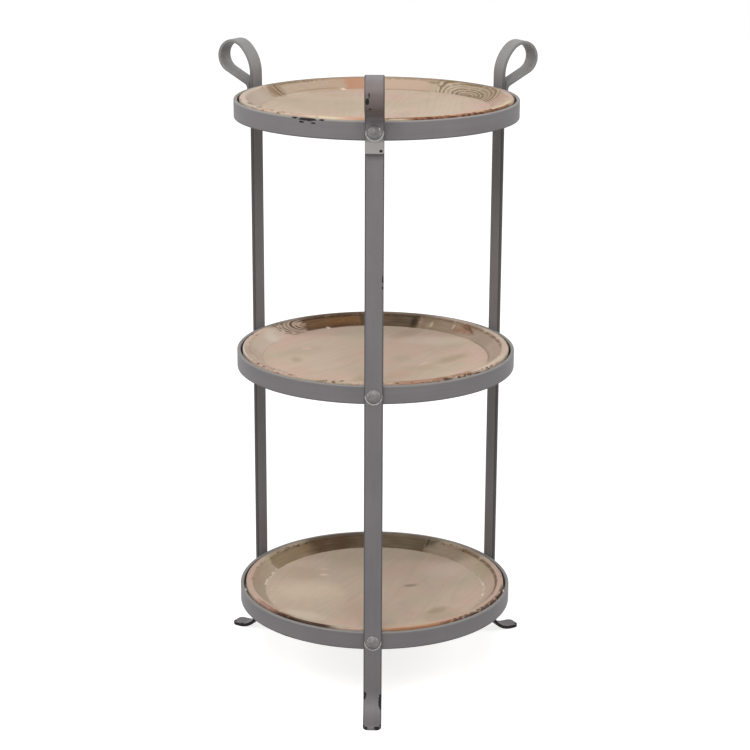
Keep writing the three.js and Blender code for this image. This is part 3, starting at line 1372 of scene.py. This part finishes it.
@dataclass
class Tray:
    """A tray: a turned rim with a sloping inner wall, and the boarded panel on its ledge."""

    tier: Tier
    wood: AgedWood
    rise: float = 0.0033
    radius: float = 0.18652
    height: float = 0.0235
    rim_width: float = 0.010
    wall_run: float = 0.018
    toe_height: float = 0.0002
    cove: float = 0.25
    floor_height: float = 0.0085
    ledge_width: float = 0.010
    ledge_thickness: float = 0.0032
    rounding: float = 0.002
    under_bevel: float = 0.0015
    under_inset: float = 0.012
    shoulder_drop: float = 0.0035
    seat_gap: float = SEAT_GAP
    joint_gap: float = 0.0001
    nick: float = 0.0006
    nick_limit: float = 0.0016
    nick_share: float = 0.7
    slow_size: float = 0.045
    quick_size: float = 0.010
    fine_size: float = 0.005
    side_wear: float = 0.1
    shoulder_wear: float = 0.5
    wall_wear: float = 0.35
    rim_angle: float = 50.0
    panel_angle: float = 35.0
    steps: int = 540
    panel_steps: int = 180
    round_steps: int = 5
    wall_steps: int = 8
    panel_radii: tuple[float, ...] = (0.02, 0.05, 0.08, 0.11, 0.135)
    panel_margin: float = 0.004

    def _rim_profile(self) -> list[tuple[float, float, float]]:
        """Lists the rim's section.

        Returns:
            Radius, height and edge share of each point; the edge share says how much wear it takes.
        """
        toe = self.radius - self.rim_width - self.wall_run
        inner = self.radius - self.rim_width
        slope = math.atan2(self.wall_run, self.height - self.floor_height)
        bevel, side = self.under_bevel, self.side_wear
        points = [(toe - self.ledge_width, 0.0, 0.0), (self.radius - self.under_inset, 0.0, 0.0)]
        points += [(self.radius - bevel, 0.0, side), (self.radius, bevel, side)]
        points += [(self.radius, self.height * 0.5, side)]
        points += [(self.radius, self.height - self.shoulder_drop, self.shoulder_wear)]
        top = self.height - self.rounding

        def rounded(middle: float, start: float, end: float) -> None:
            """Adds a rounded edge.

            Args:
                middle: Radius of the rounding's middle.
                start: Angle of the first point.
                end: Angle of the last point.
            """
            for step in range(self.round_steps + 1):
                angle = start + (end - start) * step / self.round_steps
                share = 0.75 + 0.25 * math.sin(math.pi * step / self.round_steps)
                reach = middle + self.rounding * math.cos(angle)
                points.append((reach, top + self.rounding * math.sin(angle), share))

        rounded(self.radius - self.rounding, 0.0, math.pi / 2)
        for share in (0.8, 0.5, 0.2):
            points.append((inner + self.rim_width * share, self.height, 0.15 + abs(share - 0.5)))
        rounded(inner + self.rounding, math.pi / 2, math.pi - slope / 2)
        start, end = points[-1], (toe, self.floor_height + self.toe_height)
        for step in range(1, self.wall_steps + 1):
            share = step / self.wall_steps
            dropped = share + self.cove / math.pi * math.sin(math.pi * share)
            reach = start[0] + (end[0] - start[0]) * share
            height = start[1] + (end[1] - start[1]) * dropped
            points.append((reach, height, self.wall_wear * (1 - share)))
        points += [(toe, self.floor_height - self.seat_gap, 0.0), (toe, self.ledge_thickness, 0.0)]
        points += [(toe - self.ledge_width, self.ledge_thickness, 0.0)]
        return points

    def _worn(
        self, angle: float, reach: float, height: float, edge: float
    ) -> tuple[float, float, float]:
        """Wears a point of the rim.

        Args:
            angle: Angle round the tray.
            reach: The point's radius.
            height: The point's height in the tray.
            edge: How much wear the point takes, from 0 to 1.

        Returns:
            The worn radius and height, and the wear from 0 to 1.
        """
        seed = 11.0 + 5.0 * self.tier.value
        point = (reach * math.cos(angle), reach * math.sin(angle), height * 3)
        slow = 0.5 + 0.5 * wobble(point, self.slow_size, seed)
        quick = max(0.0, wobble(point, self.quick_size, seed + 3) * 1.6 - 0.25)
        fine = 0.5 + 0.5 * wobble(point, self.fine_size, seed + 9)
        wear = min(1.0, edge * (0.35 * slow + quick * (0.4 + slow)) * 1.5)
        depth = self.nick * edge * (0.25 * slow + quick * 0.9 + 0.1 * fine)
        middle = self.radius - self.rim_width / 2
        inward = math.copysign(min(depth, self.nick_limit), middle - reach) * self.nick_share
        return reach + inward, height - depth * self.nick_share, wear

    def _rim(self) -> bpy.types.Object:
        """Turns and wears the rim.

        Returns:
            The rim, about the tray's own middle.
        """
        profile = self._rim_profile()
        rings, wears = [], []
        for step in range(self.steps):
            angle = 2 * math.pi * step / self.steps
            ahead, aside = math.cos(angle), math.sin(angle)
            worn = [self._worn(angle, *point) for point in profile]
            rings.append([(reach * ahead, reach * aside, height) for reach, height, _ in worn])
            wears.extend(wear for _, _, wear in worn)
        rim = skin(f"tray_rim_{self.tier.label}", np.array(rings), True)
        rim.data.attributes.new("wear", "FLOAT", "POINT").data.foreach_set("value", wears)
        rim.data.set_sharp_from_angle(angle=math.radians(self.rim_angle))
        return rim

    def _panel(self) -> bpy.types.Object:
        """Cuts the panel.

        Returns:
            The panel, about the tray's own middle.
        """
        edge = self.radius - self.rim_width - self.wall_run - self.joint_gap
        low, high = self.ledge_thickness + self.seat_gap, self.floor_height
        bevel = self.joint_gap
        radii = (*self.panel_radii, edge - self.panel_margin)
        plan = [(reach, low) for reach in radii] + [(edge - bevel, low), (edge, low + bevel)]
        plan += [(edge, high - bevel), (edge - bevel, high)]
        plan += [(reach, high) for reach in radii[::-1]]
        angles = circle(self.panel_steps)
        ahead, aside = np.cos(angles), np.sin(angles)
        discs = [
            np.stack([reach * ahead, reach * aside, np.full_like(angles, height)], axis=1)
            for reach, height in plan
        ]
        panel = skin(f"tray_panel_{self.tier.label}", np.array(discs), False)
        panel.data.set_sharp_from_angle(angle=math.radians(self.panel_angle))
        return panel

    def build(self) -> None:
        """Makes the rim and the panel."""
        centre = self.tier.centre() + Vector((0, 0, self.rise))
        wood = self.wood.material(centre)
        body = f"{self.tier.label}_tray"
        for thing, part in ((self._rim(), "rim"), (self._panel(), "panel")):
            thing.data.transform(Matrix.Translation(centre))
            settle(thing, f"{body}_{part}", body, wood)


# Studio


@dataclass(frozen=True)
class Softbox:
    """A square soft lamp, aimed at a point."""

    name: str
    place: Point
    target: Point
    side: float
    power: float

    def hang(self) -> None:
        """Puts the lamp in its place."""
        light = bpy.data.lights.new(self.name, "AREA")
        light.shape = "SQUARE"
        light.size = self.side
        light.energy = self.power
        lamp = link(bpy.data.objects.new(self.name, light))
        lamp.location = self.place
        aim = Vector(self.target) - Vector(self.place)
        lamp.rotation_euler = aim.to_track_quat("-Z", "Y").to_euler()


@dataclass
class Studio:
    """The plain studio: pale floor, soft lamps and the camera of the photograph."""

    floor_side: float = 14.0
    floor_shade: float = 0.6
    near_lift: float = 0.8
    far_lift: float = 1.0
    near: float = 0.7
    far: float = 2.4
    ambient: float = 0.16
    lens: float = 99.624
    sensor: float = 36.0
    distance: float = 2.80839
    aside: float = -0.0283
    height: float = 1.26462
    pitch: float = 16.5317
    yaw: float = 0.5619
    roll: float = 0.2416
    table_turn: float = 1.2592
    lamps: tuple[Softbox, ...] = (
        Softbox("key_softbox", (-0.2, -1.9, 2.3), (0, 0, 0.5), 1.5, 41.0),
        Softbox("overhead_softbox", (0.0, 0.2, 3.0), (0, 0, 0.4), 1.8, 12.0),
        Softbox("left_softbox", (-2.5, -0.6, 2.1), (0, 0, 0.6), 1.2, 25.0),
        Softbox("right_softbox", (2.5, -0.6, 2.1), (0, 0, 0.6), 1.2, 25.0),
    )

    def build(self) -> None:
        """Makes the floor, the world, the lamps and the camera."""
        self._floor()
        self._world()
        for lamp in self.lamps:
            lamp.hang()
        self._camera()

    @staticmethod
    def _seen(graph: Graph) -> Signal:
        """Gives 1 for rays from the camera and for those that metal or glass sends on."""
        camera = graph.node("ShaderNodeLightPath", output="Is Camera Ray")
        return camera | camera.beside("Is Glossy Ray") | camera.beside("Is Transmission Ray")

    def _floor(self) -> None:
        """Makes the floor, white where nothing shades it."""
        half = self.floor_side / 2
        square = ((-half, -half, 0), (half, -half, 0), (half, half, 0), (-half, half, 0))
        build = bmesh.new()
        build.faces.new([build.verts.new(corner) for corner in square])
        mesh = bpy.data.meshes.new("studio_floor")
        build.to_mesh(mesh)
        build.free()
        material, graph = new_material("studio_floor")
        away = graph.length(graph.position())
        near, far, shade = (
            (grey, grey, grey, 1.0) for grey in (self.near_lift, self.far_lift, self.floor_shade)
        )
        lift = graph.mix(away.step(self.near, self.far), near, far)
        glow = graph.mix(self._seen(graph), (0, 0, 0, 1), lift)
        graph.surface(
            {
                "Base Color": shade,
                "Roughness": 0.9,
                "Specular IOR Level": 0.0,
                "Emission Strength": 1.0,
            },
            {"Emission Color": glow},
        )
        mesh.materials.append(material)
        link(bpy.data.objects.new("studio_floor", mesh))

    def _world(self) -> None:
        """Makes the world: white behind everything, and a soft light all round."""
        world = bpy.data.worlds.new("studio")
        world.use_nodes = True
        bpy.context.scene.world = world
        graph = Graph(world.node_tree)
        lights = {"Color": (0.97, 0.98, 1, 1), "Strength": self.ambient}
        soft = graph.node("ShaderNodeBackground", inputs=lights)
        white = graph.node("ShaderNodeBackground", inputs={"Color": (1, 1, 1, 1), "Strength": 1.0})
        both = graph.node("ShaderNodeMixShader", inputs={0: self._seen(graph), 1: soft, 2: white})
        graph.node("ShaderNodeOutputWorld", inputs={"Surface": both})

    def _camera(self) -> None:
        """Sets the camera where the photograph was taken from."""
        pitch, yaw, roll = (math.radians(angle) for angle in (self.pitch, self.yaw, self.roll))
        level = math.cos(pitch)
        ahead = Vector((math.sin(yaw) * level, math.cos(yaw) * level, -math.sin(pitch)))
        right = Vector((math.cos(yaw), -math.sin(yaw), 0.0))
        above = right.cross(ahead)
        across = right * math.cos(roll) + above * math.sin(roll)
        up = above * math.cos(roll) - right * math.sin(roll)
        stand = Matrix((across, up, -ahead)).transposed().to_4x4()
        stand.translation = Vector((self.aside, -self.distance, self.height))
        axis = Vector((0, Tier.BOTTOM.centre().y, 0))
        data = bpy.data.cameras.new("photo_camera")
        data.lens = self.lens
        data.sensor_width = self.sensor
        camera = link(bpy.data.objects.new("photo_camera", data))
        camera.matrix_world = outward(self.table_turn, axis) @ stand
        bpy.context.scene.camera = camera


# Finishes of this table

BAR_GREY = {"light": tint(125, 121, 122), "dark": tint(113, 109, 111)}
# The legs' long edges are darkened: grime and wear, with painted shade on the narrow side faces
LEG_GREY = {**BAR_GREY, "low_edge_grime_and_shade": tint(66, 62, 62), "high_edge_grime_shade_highlight": tint(66, 62, 62)}
# The hoops' lower edge is darkened the same way, and their upper edge is lightened as a painted highlight
# where it faces up
HOOP_GREY = {**BAR_GREY, "low_edge_grime_and_shade": tint(70, 67, 66), "high_edge_grime_shade_highlight": tint(142, 140, 136)}

FRONT_CHIPS = (
    Chip(0.0619, -0.0114, 0.0130, 0.0060),
    Chip(0.0525, 0.0112, 0.0260, 0.0062),
    Chip(0.0000, -0.0098, 0.0070, 0.0075),
    Chip(0.0000, 0.0082, 0.0060, 0.0105),
    Chip(0.0050, -0.0118, 0.0090, 0.0034),
    Chip(0.0060, 0.0118, 0.0100, 0.0034),
    Chip(0.6500, 0.0120, 0.012, 0.004),
    Chip(0.6390, 0.0112, 0.004, 0.003),
    Chip(0.9638, -0.0065, 0.006, 0.002),
    Chip(0.9710, -0.0088, 0.009, 0.005),
    Chip(0.9819, -0.0050, 0.003, 0.004),
    Chip(1.0678, 0.0082, 0.0035, 0.005),
    Chip(0.9293, -0.0105, 0.004, 0.004),
)

FRONT_PAINTED_LIGHT = (
    # Painted shade, tinted brown, where the loop's neck faces down and out
    PaintedLight(0.966, 0.050, tint(98, 80, 68), 0.5),
    PaintedLight(0.996, 0.036, tint(86, 68, 56), 0.65),
    # Painted highlight where the lap's end kicks out and faces up
    PaintedLight(1.065, 0.022, tint(164, 160, 156), 0.75),
)

REAR_CHIPS = (
    Chip(2.028, -0.0125, 0.056, 0.0026),
    Chip(2.002, -0.0080, 0.008, 0.0060),
    Chip(4.026, 0.0125, 0.052, 0.0026),
    Chip(4.002, 0.0080, 0.008, 0.0060),
    Chip(4.018, 0.0100, 0.006, 0.0040),
)

REAR_PAINTED_LIGHT = (
    # Painted highlight on the rear legs' loops, which lean out and face up
    PaintedLight(2.950, 0.170, tint(154, 154, 151), 0.6),
    PaintedLight(4.950, 0.170, tint(154, 154, 151), 0.6),
)

RIVET_MARKS = ((0.1404, 1.0), (0.4914, 1.0), (1.0437, -1.0))

REAR_MARKS = tuple(
    (BAR_PITCH * number + along, upward) for number in (1, 2) for along, upward in RIVET_MARKS
)

BOTTOM_HOOP, TOP_HOOP = FIRST_HOOP, FIRST_HOOP + 2 * BAR_PITCH
HOOP_RADIUS = 0.1919


def hoop_chip(start: float, azimuth: float, height: float, length: float, width: float) -> Chip:
    """Places a chip on a hoop.

    Args:
        start: Where the hoop's bar coordinate starts.
        azimuth: Angle from +X in degrees.
        height: Height above the hoop's lower edge.
        length: Length round the hoop.
        width: Width of the chip.

    Returns:
        The chip.
    """
    turned = math.radians((azimuth - 90) % 360)
    return Chip(start + turned * HOOP_RADIUS, height - BAR_WIDTH / 2, length, width)


HOOP_CHIPS = (
    hoop_chip(TOP_HOOP, -122.2, 0.0245, 0.010, 0.003),
    hoop_chip(TOP_HOOP, -116.5, 0.0240, 0.026, 0.005),
    hoop_chip(TOP_HOOP, -110.5, 0.0242, 0.008, 0.002),
    hoop_chip(TOP_HOOP, -119.0, 0.0200, 0.008, 0.003),
    hoop_chip(TOP_HOOP, -114.0, 0.0195, 0.008, 0.002),
    hoop_chip(BOTTOM_HOOP, -128.7, 0.0005, 0.022, 0.003),
    hoop_chip(BOTTOM_HOOP, -125.0, 0.0003, 0.010, 0.003),
)

# One whitewash for all trays; the middle and bottom trays' washes are written lighter as painted light,
# making up for the shade that the trays above cast
PALE = {"wash": tint(200, 182, 163), "pink": tint(203, 176, 161), "green": tint(190, 177, 155)}
MIDDLE_PALE = {"wash": tint(212, 193, 174), "pink": tint(215, 187, 171), "green": tint(200, 188, 165)}
LOW_PALE = {"wash": tint(204, 186, 167), "pink": tint(207, 180, 164), "green": tint(193, 182, 160)}

SOOTY, CREAM, ROSY = tint(70, 52, 40), tint(214, 201, 184), tint(200, 170, 155)

# Marks lie in plan, stretches run round the wall and the rim, and figures are cut rings in the wall

BOTTOM_MARKS = (
    Mark(0.095, -0.102, 0.090, 0.045, 10, tint(170, 152, 130), 0.5),
    Mark(-0.110, 0.056, 0.080, 0.060, 0, tint(182, 162, 140), 0.5),
    Mark(-0.040, 0.095, 0.080, 0.060, 0, tint(182, 164, 140), 0.4),
    Mark(0.104, 0.070, 0.090, 0.080, 0, tint(222, 212, 196), 0.3),
    Mark(-0.098, -0.105, 0.070, 0.035, -20, tint(224, 206, 190), 0.45),
    Mark(-0.036, -0.092, 0.050, 0.060, 0, tint(184, 168, 146), 0.35),
    Mark(0.052, 0.008, 0.026, 0.013, 20, tint(134, 120, 100), 0.7),
    Mark(-0.075, 0.047, 0.016, 0.011, 0, tint(224, 208, 188), 0.75),
    Mark(-0.076, 0.069, 0.015, 0.009, 0, tint(218, 200, 180), 0.7),
    Mark(0.092, -0.081, 0.040, 0.022, 40, tint(156, 136, 112), 0.6),
    Mark(0.116, -0.080, 0.030, 0.016, 30, tint(200, 166, 146), 0.5),
    Mark(-0.095, -0.015, 0.110, 0.075, 0, tint(222, 206, 180), 0.5),
    Mark(0.0795, 0.1540, 0.018, 0.0026, 62, tint(50, 38, 28), 0.85, 0.2),
)

BOTTOM_STRETCHES = (
    Stretch(36, 68, tint(140, 124, 102), 0.7),
    # Dark back wall, three stretches: brown stain, deepened by painted shade from the tray above
    Stretch(116, 154, tint(136, 116, 86), 0.88, soft=0.05),
    Stretch(90, 127, tint(92, 72, 52), 0.92),
    Stretch(60, 97, tint(102, 88, 68), 0.92, soft=0.06),
    Stretch(30, 155, tint(160, 146, 122), 0.6, 0.1775, 0.1870),
    # Dark back of the rim, two stretches: brown stain, deepened by painted shade from the tray above
    Stretch(92, 128, tint(84, 68, 54), 0.85, 0.1765, 0.1870),
    Stretch(58, 97, tint(104, 92, 76), 0.8, 0.1765, 0.1870),
    Stretch(8, 37, tint(176, 160, 134), 0.5),
    Stretch(156, 204, tint(166, 148, 126), 0.5),
    Stretch(33, 56, SOOTY, 0.85, 0.1742, 0.1790, 0.5),
    Stretch(112, 142, SOOTY, 0.7, 0.1745, 0.1785, 0.54),
    Stretch(-20, 16, tint(232, 222, 206), 0.8, 0.1570, 0.1602, 0.46),
    Stretch(156, 184, tint(232, 222, 206), 0.8, 0.1570, 0.1606, 0.46),
    Stretch(155, 210, ROSY, 0.55, 0.1775, 0.1870),
    Stretch(-28, 24, tint(196, 170, 154), 0.6, 0.1775, 0.1870),
    Stretch(-20, 44, tint(112, 90, 68), 0.75, 0.1742, 0.1778, 0.3),
    Stretch(-89, -57, tint(204, 174, 146), 0.6, 0.1735, 0.1840),
    Stretch(-88, -50, tint(178, 122, 84), 0.8, 0.1840, 0.1880),
    Stretch(-60, -27, tint(198, 166, 148), 0.6, 0.1735, 0.1850),
    Stretch(-66, -18, tint(130, 104, 86), 0.65, 0.1728, 0.1754, 0.32),
    Stretch(-57, -8, tint(98, 68, 52), 0.85, 0.1840, 0.1880, 0.38),
    Stretch(-150, -128, tint(150, 100, 84), 0.7, 0.1810, 0.1880, 0.3),
    Stretch(-137, -108, tint(66, 45, 34), 0.92, 0.1838, 0.1880, 0.2),
)

MIDDLE_MARKS = (
    Mark(-0.105, 0.020, 0.090, 0.050, 40, tint(186, 166, 146), 0.4),
    Mark(0.065, -0.060, 0.060, 0.030, 10, tint(180, 166, 138), 0.4),
    Mark(0.037, -0.012, 0.034, 0.050, 0, tint(178, 174, 146), 0.4),
    Mark(0.085, 0.080, 0.100, 0.050, 0, tint(224, 214, 194), 0.35),
    Mark(0.106, -0.015, 0.080, 0.026, 51, tint(172, 156, 128), 0.6),
    Mark(-0.099, 0.033, 0.016, 0.011, 0, tint(220, 192, 174), 0.75),
    Mark(-0.110, -0.024, 0.034, 0.018, 100, tint(168, 150, 128), 0.5),
    Mark(0.067, -0.039, 0.030, 0.009, 56, tint(218, 204, 184), 0.55),
    Mark(0.034, -0.092, 0.060, 0.034, 56, tint(210, 172, 150), 0.5),
    Mark(0.045, 0.118, 0.080, 0.034, 56, tint(176, 150, 130), 0.5),
    Mark(-0.018, -0.125, 0.030, 0.050, 0, tint(180, 172, 134), 0.5),
    Mark(0.0547, 0.1588, 0.020, 0.014, 71, tint(46, 33, 25), 0.85),
    Mark(0.0804, 0.1468, 0.010, 0.006, 61, tint(206, 192, 170), 0.7),
    Mark(0.1123, 0.1279, 0.009, 0.005, 49, tint(206, 192, 170), 0.7),
    Mark(-0.0713, 0.1425, 0.009, 0.005, 0, tint(234, 216, 196), 0.9),
    Mark(0.1365, 0.1041, 0.026, 0.0045, -72, tint(92, 68, 50), 0.75, 0.3),
    Mark(0.1300, 0.1130, 0.018, 0.0035, -60, tint(92, 68, 50), 0.6, 0.3),
    Mark(-0.150, 0.072, 0.034, 0.022, 60, tint(220, 212, 194), 0.6),
)

MIDDLE_STRETCHES = (
    Stretch(124, 139, tint(176, 156, 134), 0.5),
    Stretch(14, 66, tint(146, 126, 106), 0.6),
    Stretch(-10, 30, tint(146, 124, 102), 0.6, 0.1575, 0.1606),
    # Dark back wall: brown stain, deepened by painted shade from the tray above
    Stretch(94, 129, tint(108, 78, 50), 0.94, soft=0.05),
    # Painted shade darkening the foot of the back wall, in the corner with the floor
    Stretch(97, 128, tint(66, 49, 37), 0.5, 0.1592, 0.1632, 0.3),
    Stretch(96, 118, tint(138, 98, 58), 0.5, 0.1665, 0.1730, 0.3),
    # Dark back wall: brown stain, deepened by painted shade from the tray above
    Stretch(67, 97, tint(86, 70, 50), 0.94, soft=0.05),
    Stretch(60, 70, tint(128, 106, 82), 0.8, soft=0.1),
    Stretch(46, 64, tint(146, 127, 105), 0.6),
    Stretch(64, 150, tint(158, 146, 126), 0.65, 0.1775, 0.1870),
    # Dark back of the rim, two stretches: brown stain, deepened by painted shade from the tray above
    Stretch(94, 130, tint(86, 66, 50), 0.85, 0.1765, 0.1870),
    Stretch(60, 97, tint(118, 100, 80), 0.75, 0.1765, 0.1870),
    Stretch(30, 64, tint(188, 178, 160), 0.5, 0.1775, 0.1870),
    Stretch(34, 46, tint(160, 120, 92), 0.7, 0.1640, 0.1768, 0.36, 0.1),
    Stretch(-16, 34, tint(168, 151, 135), 0.6),
    Stretch(144, 182, tint(206, 196, 180), 0.4),
    # Painted shadow of the rim along the top of the back wall
    Stretch(66, 128, tint(62, 47, 36), 0.65, 0.1745, 0.1775, 0.36),
    Stretch(2, 62, tint(116, 96, 76), 0.65, 0.1745, 0.1778, 0.36),
    Stretch(115, 136, CREAM, 0.55, 0.1575, 0.1597, 0.3),
    Stretch(95, 114, tint(198, 160, 140), 0.5, 0.1575, 0.1597),
    Stretch(-26, 32, tint(204, 188, 170), 0.65, 0.1780, 0.1870),
    # Painted highlight along the rim's outer edge
    Stretch(163, 196, tint(232, 226, 216), 0.6, 0.1843, 0.1880),
    Stretch(-180, -130, tint(178, 158, 146), 0.7, 0.1765, 0.1845),
    Stretch(-142, -120, CREAM, 0.6, 0.1735, 0.1800, 0.36),
    Stretch(-150, -131, tint(140, 114, 96), 0.6, 0.1800, 0.1870, 0.52),
    Stretch(-168, -136, tint(226, 214, 198), 0.55, 0.1735, 0.1790, 0.44),
    Stretch(-113, -98, tint(88, 68, 52), 0.8, 0.1735, 0.1870, 0.52),
    Stretch(-86, -60, tint(170, 128, 106), 0.75, 0.1735, 0.1880),
    Stretch(-62, -43, tint(150, 112, 84), 0.75, 0.1735, 0.1865, 0.3),
    Stretch(-44, -14, tint(216, 200, 178), 0.55, 0.1735, 0.1850),
    Stretch(-66, -27, tint(70, 50, 40), 0.85, 0.1840, 0.1880, 0.5),
)

TOP_MARKS = (
    Mark(-0.122, 0.060, 0.050, 0.080, 0, tint(172, 156, 136), 0.45),
    Mark(0.036, -0.050, 0.030, 0.030, 0, tint(178, 164, 140), 0.4),
    Mark(-0.050, 0.100, 0.060, 0.040, 0, tint(178, 160, 136), 0.4),
    Mark(-0.070, 0.010, 0.150, 0.160, 0, tint(180, 162, 140), 0.5),
    Mark(-0.1385, 0.0969, 0.026, 0.0048, -21, tint(92, 68, 48), 0.8, 0.3),
    Mark(-0.1405, 0.0890, 0.022, 0.0060, -15, tint(108, 86, 62), 0.7, 0.4),
    Mark(-0.1450, 0.0850, 0.020, 0.0100, -10, tint(132, 110, 84), 0.65),
    Mark(-0.0494, 0.1522, 0.009, 0.005, 0, tint(230, 212, 190), 0.85),
    Mark(0.0788, 0.1546, 0.024, 0.0045, 150, tint(118, 102, 76), 0.65, 0.4),
    Mark(0.0900, 0.1440, 0.016, 0.0035, 146, tint(118, 102, 76), 0.6, 0.4),
)

TOP_STRETCHES = (
    Stretch(20, 160, tint(166, 146, 124), 0.6),
    Stretch(150, 206, tint(182, 168, 154), 0.55, soft=0.3),
    Stretch(152, 212, tint(204, 190, 176), 0.5, 0.1765, 0.1870),
    Stretch(94, 109, tint(176, 126, 98), 0.75, 0.1600),
    Stretch(60, 90, tint(190, 162, 144), 0.6),
    Stretch(48, 62, tint(204, 192, 168), 0.4),
    Stretch(143, 151, tint(148, 124, 96), 0.65, soft=0.05),
    Stretch(116, 147, tint(110, 102, 78), 0.75, 0.1755, 0.1840, 0.44),
    # Painted shadow line just above the foot of the back wall
    Stretch(107, 134, tint(148, 124, 98), 0.55, 0.1618, 0.1642),
    Stretch(60, 90, tint(146, 118, 92), 0.5, 0.1580, 0.1600),
    Stretch(129, 153, CREAM, 0.5, 0.1572, 0.1600),
    Stretch(4, 33, tint(160, 140, 116), 0.5),
    Stretch(30, 44, tint(132, 112, 86), 0.6, 0.1580, 0.1625, 0.3),
    Stretch(28, 88, tint(136, 124, 98), 0.6, 0.1750, 0.1800, 0.4),
    Stretch(25, 150, tint(148, 130, 108), 0.7, 0.1765, 0.1870),
    Stretch(-89, -60, tint(132, 80, 50), 0.9, 0.1735, 0.1845),
    Stretch(-64, -34, tint(196, 150, 110), 0.75, 0.1735, 0.1845),
    Stretch(-40, -10, tint(216, 194, 158), 0.65, 0.1735, 0.1845),
    Stretch(-80, -18, tint(132, 88, 58), 0.9, 0.1842, 0.1880),
    Stretch(-76, -30, tint(92, 44, 32), 0.95, 0.1800, 0.1880, 0.44),
    Stretch(-89, -77, tint(218, 206, 170), 0.55, 0.1846, 0.1880),
    Stretch(-160, -122, tint(126, 92, 68), 0.85, 0.1735, 0.1845, 0.46),
    Stretch(-117, -102, tint(224, 210, 178), 0.6, 0.1735, 0.1870),
    Stretch(-103, -91, tint(214, 144, 98), 0.7, 0.1735, 0.1860),
)

MIDDLE_FIGURES = (Figure(126, 0.1700, 0.0023, 3.8, 9, tint(62, 48, 36), 0.95, True),)
TOP_FIGURES = (Figure(38, 0.1600, 0.0030, 2.9, 9, tint(104, 90, 66), 0.85),)

FRONT_PAINT = BrushedPaint(
    "front_leg_paint", chips=FRONT_CHIPS, painted_lights=FRONT_PAINTED_LIGHT, tool_marks=RIVET_MARKS, **LEG_GREY
)
REAR_PAINT = BrushedPaint(
    "rear_leg_paint", chips=REAR_CHIPS, painted_lights=REAR_PAINTED_LIGHT, tool_marks=REAR_MARKS, **LEG_GREY
)
HOOP_PAINT = BrushedPaint("hoop_paint", chips=HOOP_CHIPS, **HOOP_GREY)
RIVET_PAINT = RivetPaint("rivet_paint", light=tint(138, 134, 134), dark=tint(112, 108, 109))
LUG_PAINT = BrushedPaint("lug_paint", **HOOP_GREY)

BOTTOM_WOOD = AgedWood(
    "bottom_tray_wood",
    grain_angle=67.0,
    board_shift=0.74,
    seed=3.0,
    marks=BOTTOM_MARKS,
    stretches=BOTTOM_STRETCHES,
    **LOW_PALE,
)
MIDDLE_WOOD = AgedWood(
    "middle_tray_wood",
    grain_angle=56.0,
    board_shift=0.035,
    seed=8.0,
    marks=MIDDLE_MARKS,
    stretches=MIDDLE_STRETCHES,
    figures=MIDDLE_FIGURES,
    **MIDDLE_PALE,
)
TOP_WOOD = AgedWood(
    "top_tray_wood",
    grain_angle=82.0,
    board_shift=0.4,
    seed=14.0,
    marks=TOP_MARKS,
    stretches=TOP_STRETCHES,
    figures=TOP_FIGURES,
    **PALE,
)


class SideTable:
    """The whole table: legs, hoops, rivets, lugs and trays."""

    def build(self) -> None:
        """Makes every piece of the table."""
        paints = (FRONT_PAINT, REAR_PAINT, HOOP_PAINT, RIVET_PAINT, LUG_PAINT)
        front, rear, hoop, rivet, lug = (paint.material() for paint in paints)
        for number, facing in enumerate(Facing):
            Leg(facing, number).build(front if facing is Facing.FRONT else rear)
        for tier in Tier:
            Hoop(tier).build(hoop)
            for facing in Facing:
                Rivet(tier, facing).build(rivet)
            for place in LugPlace:
                Lug(tier, place).build(lug)
        for tier, wood in zip(Tier, (BOTTOM_WOOD, MIDDLE_WOOD, TOP_WOOD)):
            Tray(tier, wood).build()


def main() -> None:
    """Builds the table and its studio."""
    logging.basicConfig(level=logging.INFO, format="%(name)s: %(message)s")
    bpy.context.scene.view_settings.view_transform = "Standard"
    SideTable().build()
    Studio().build()


if __name__ == "__main__":
    main()
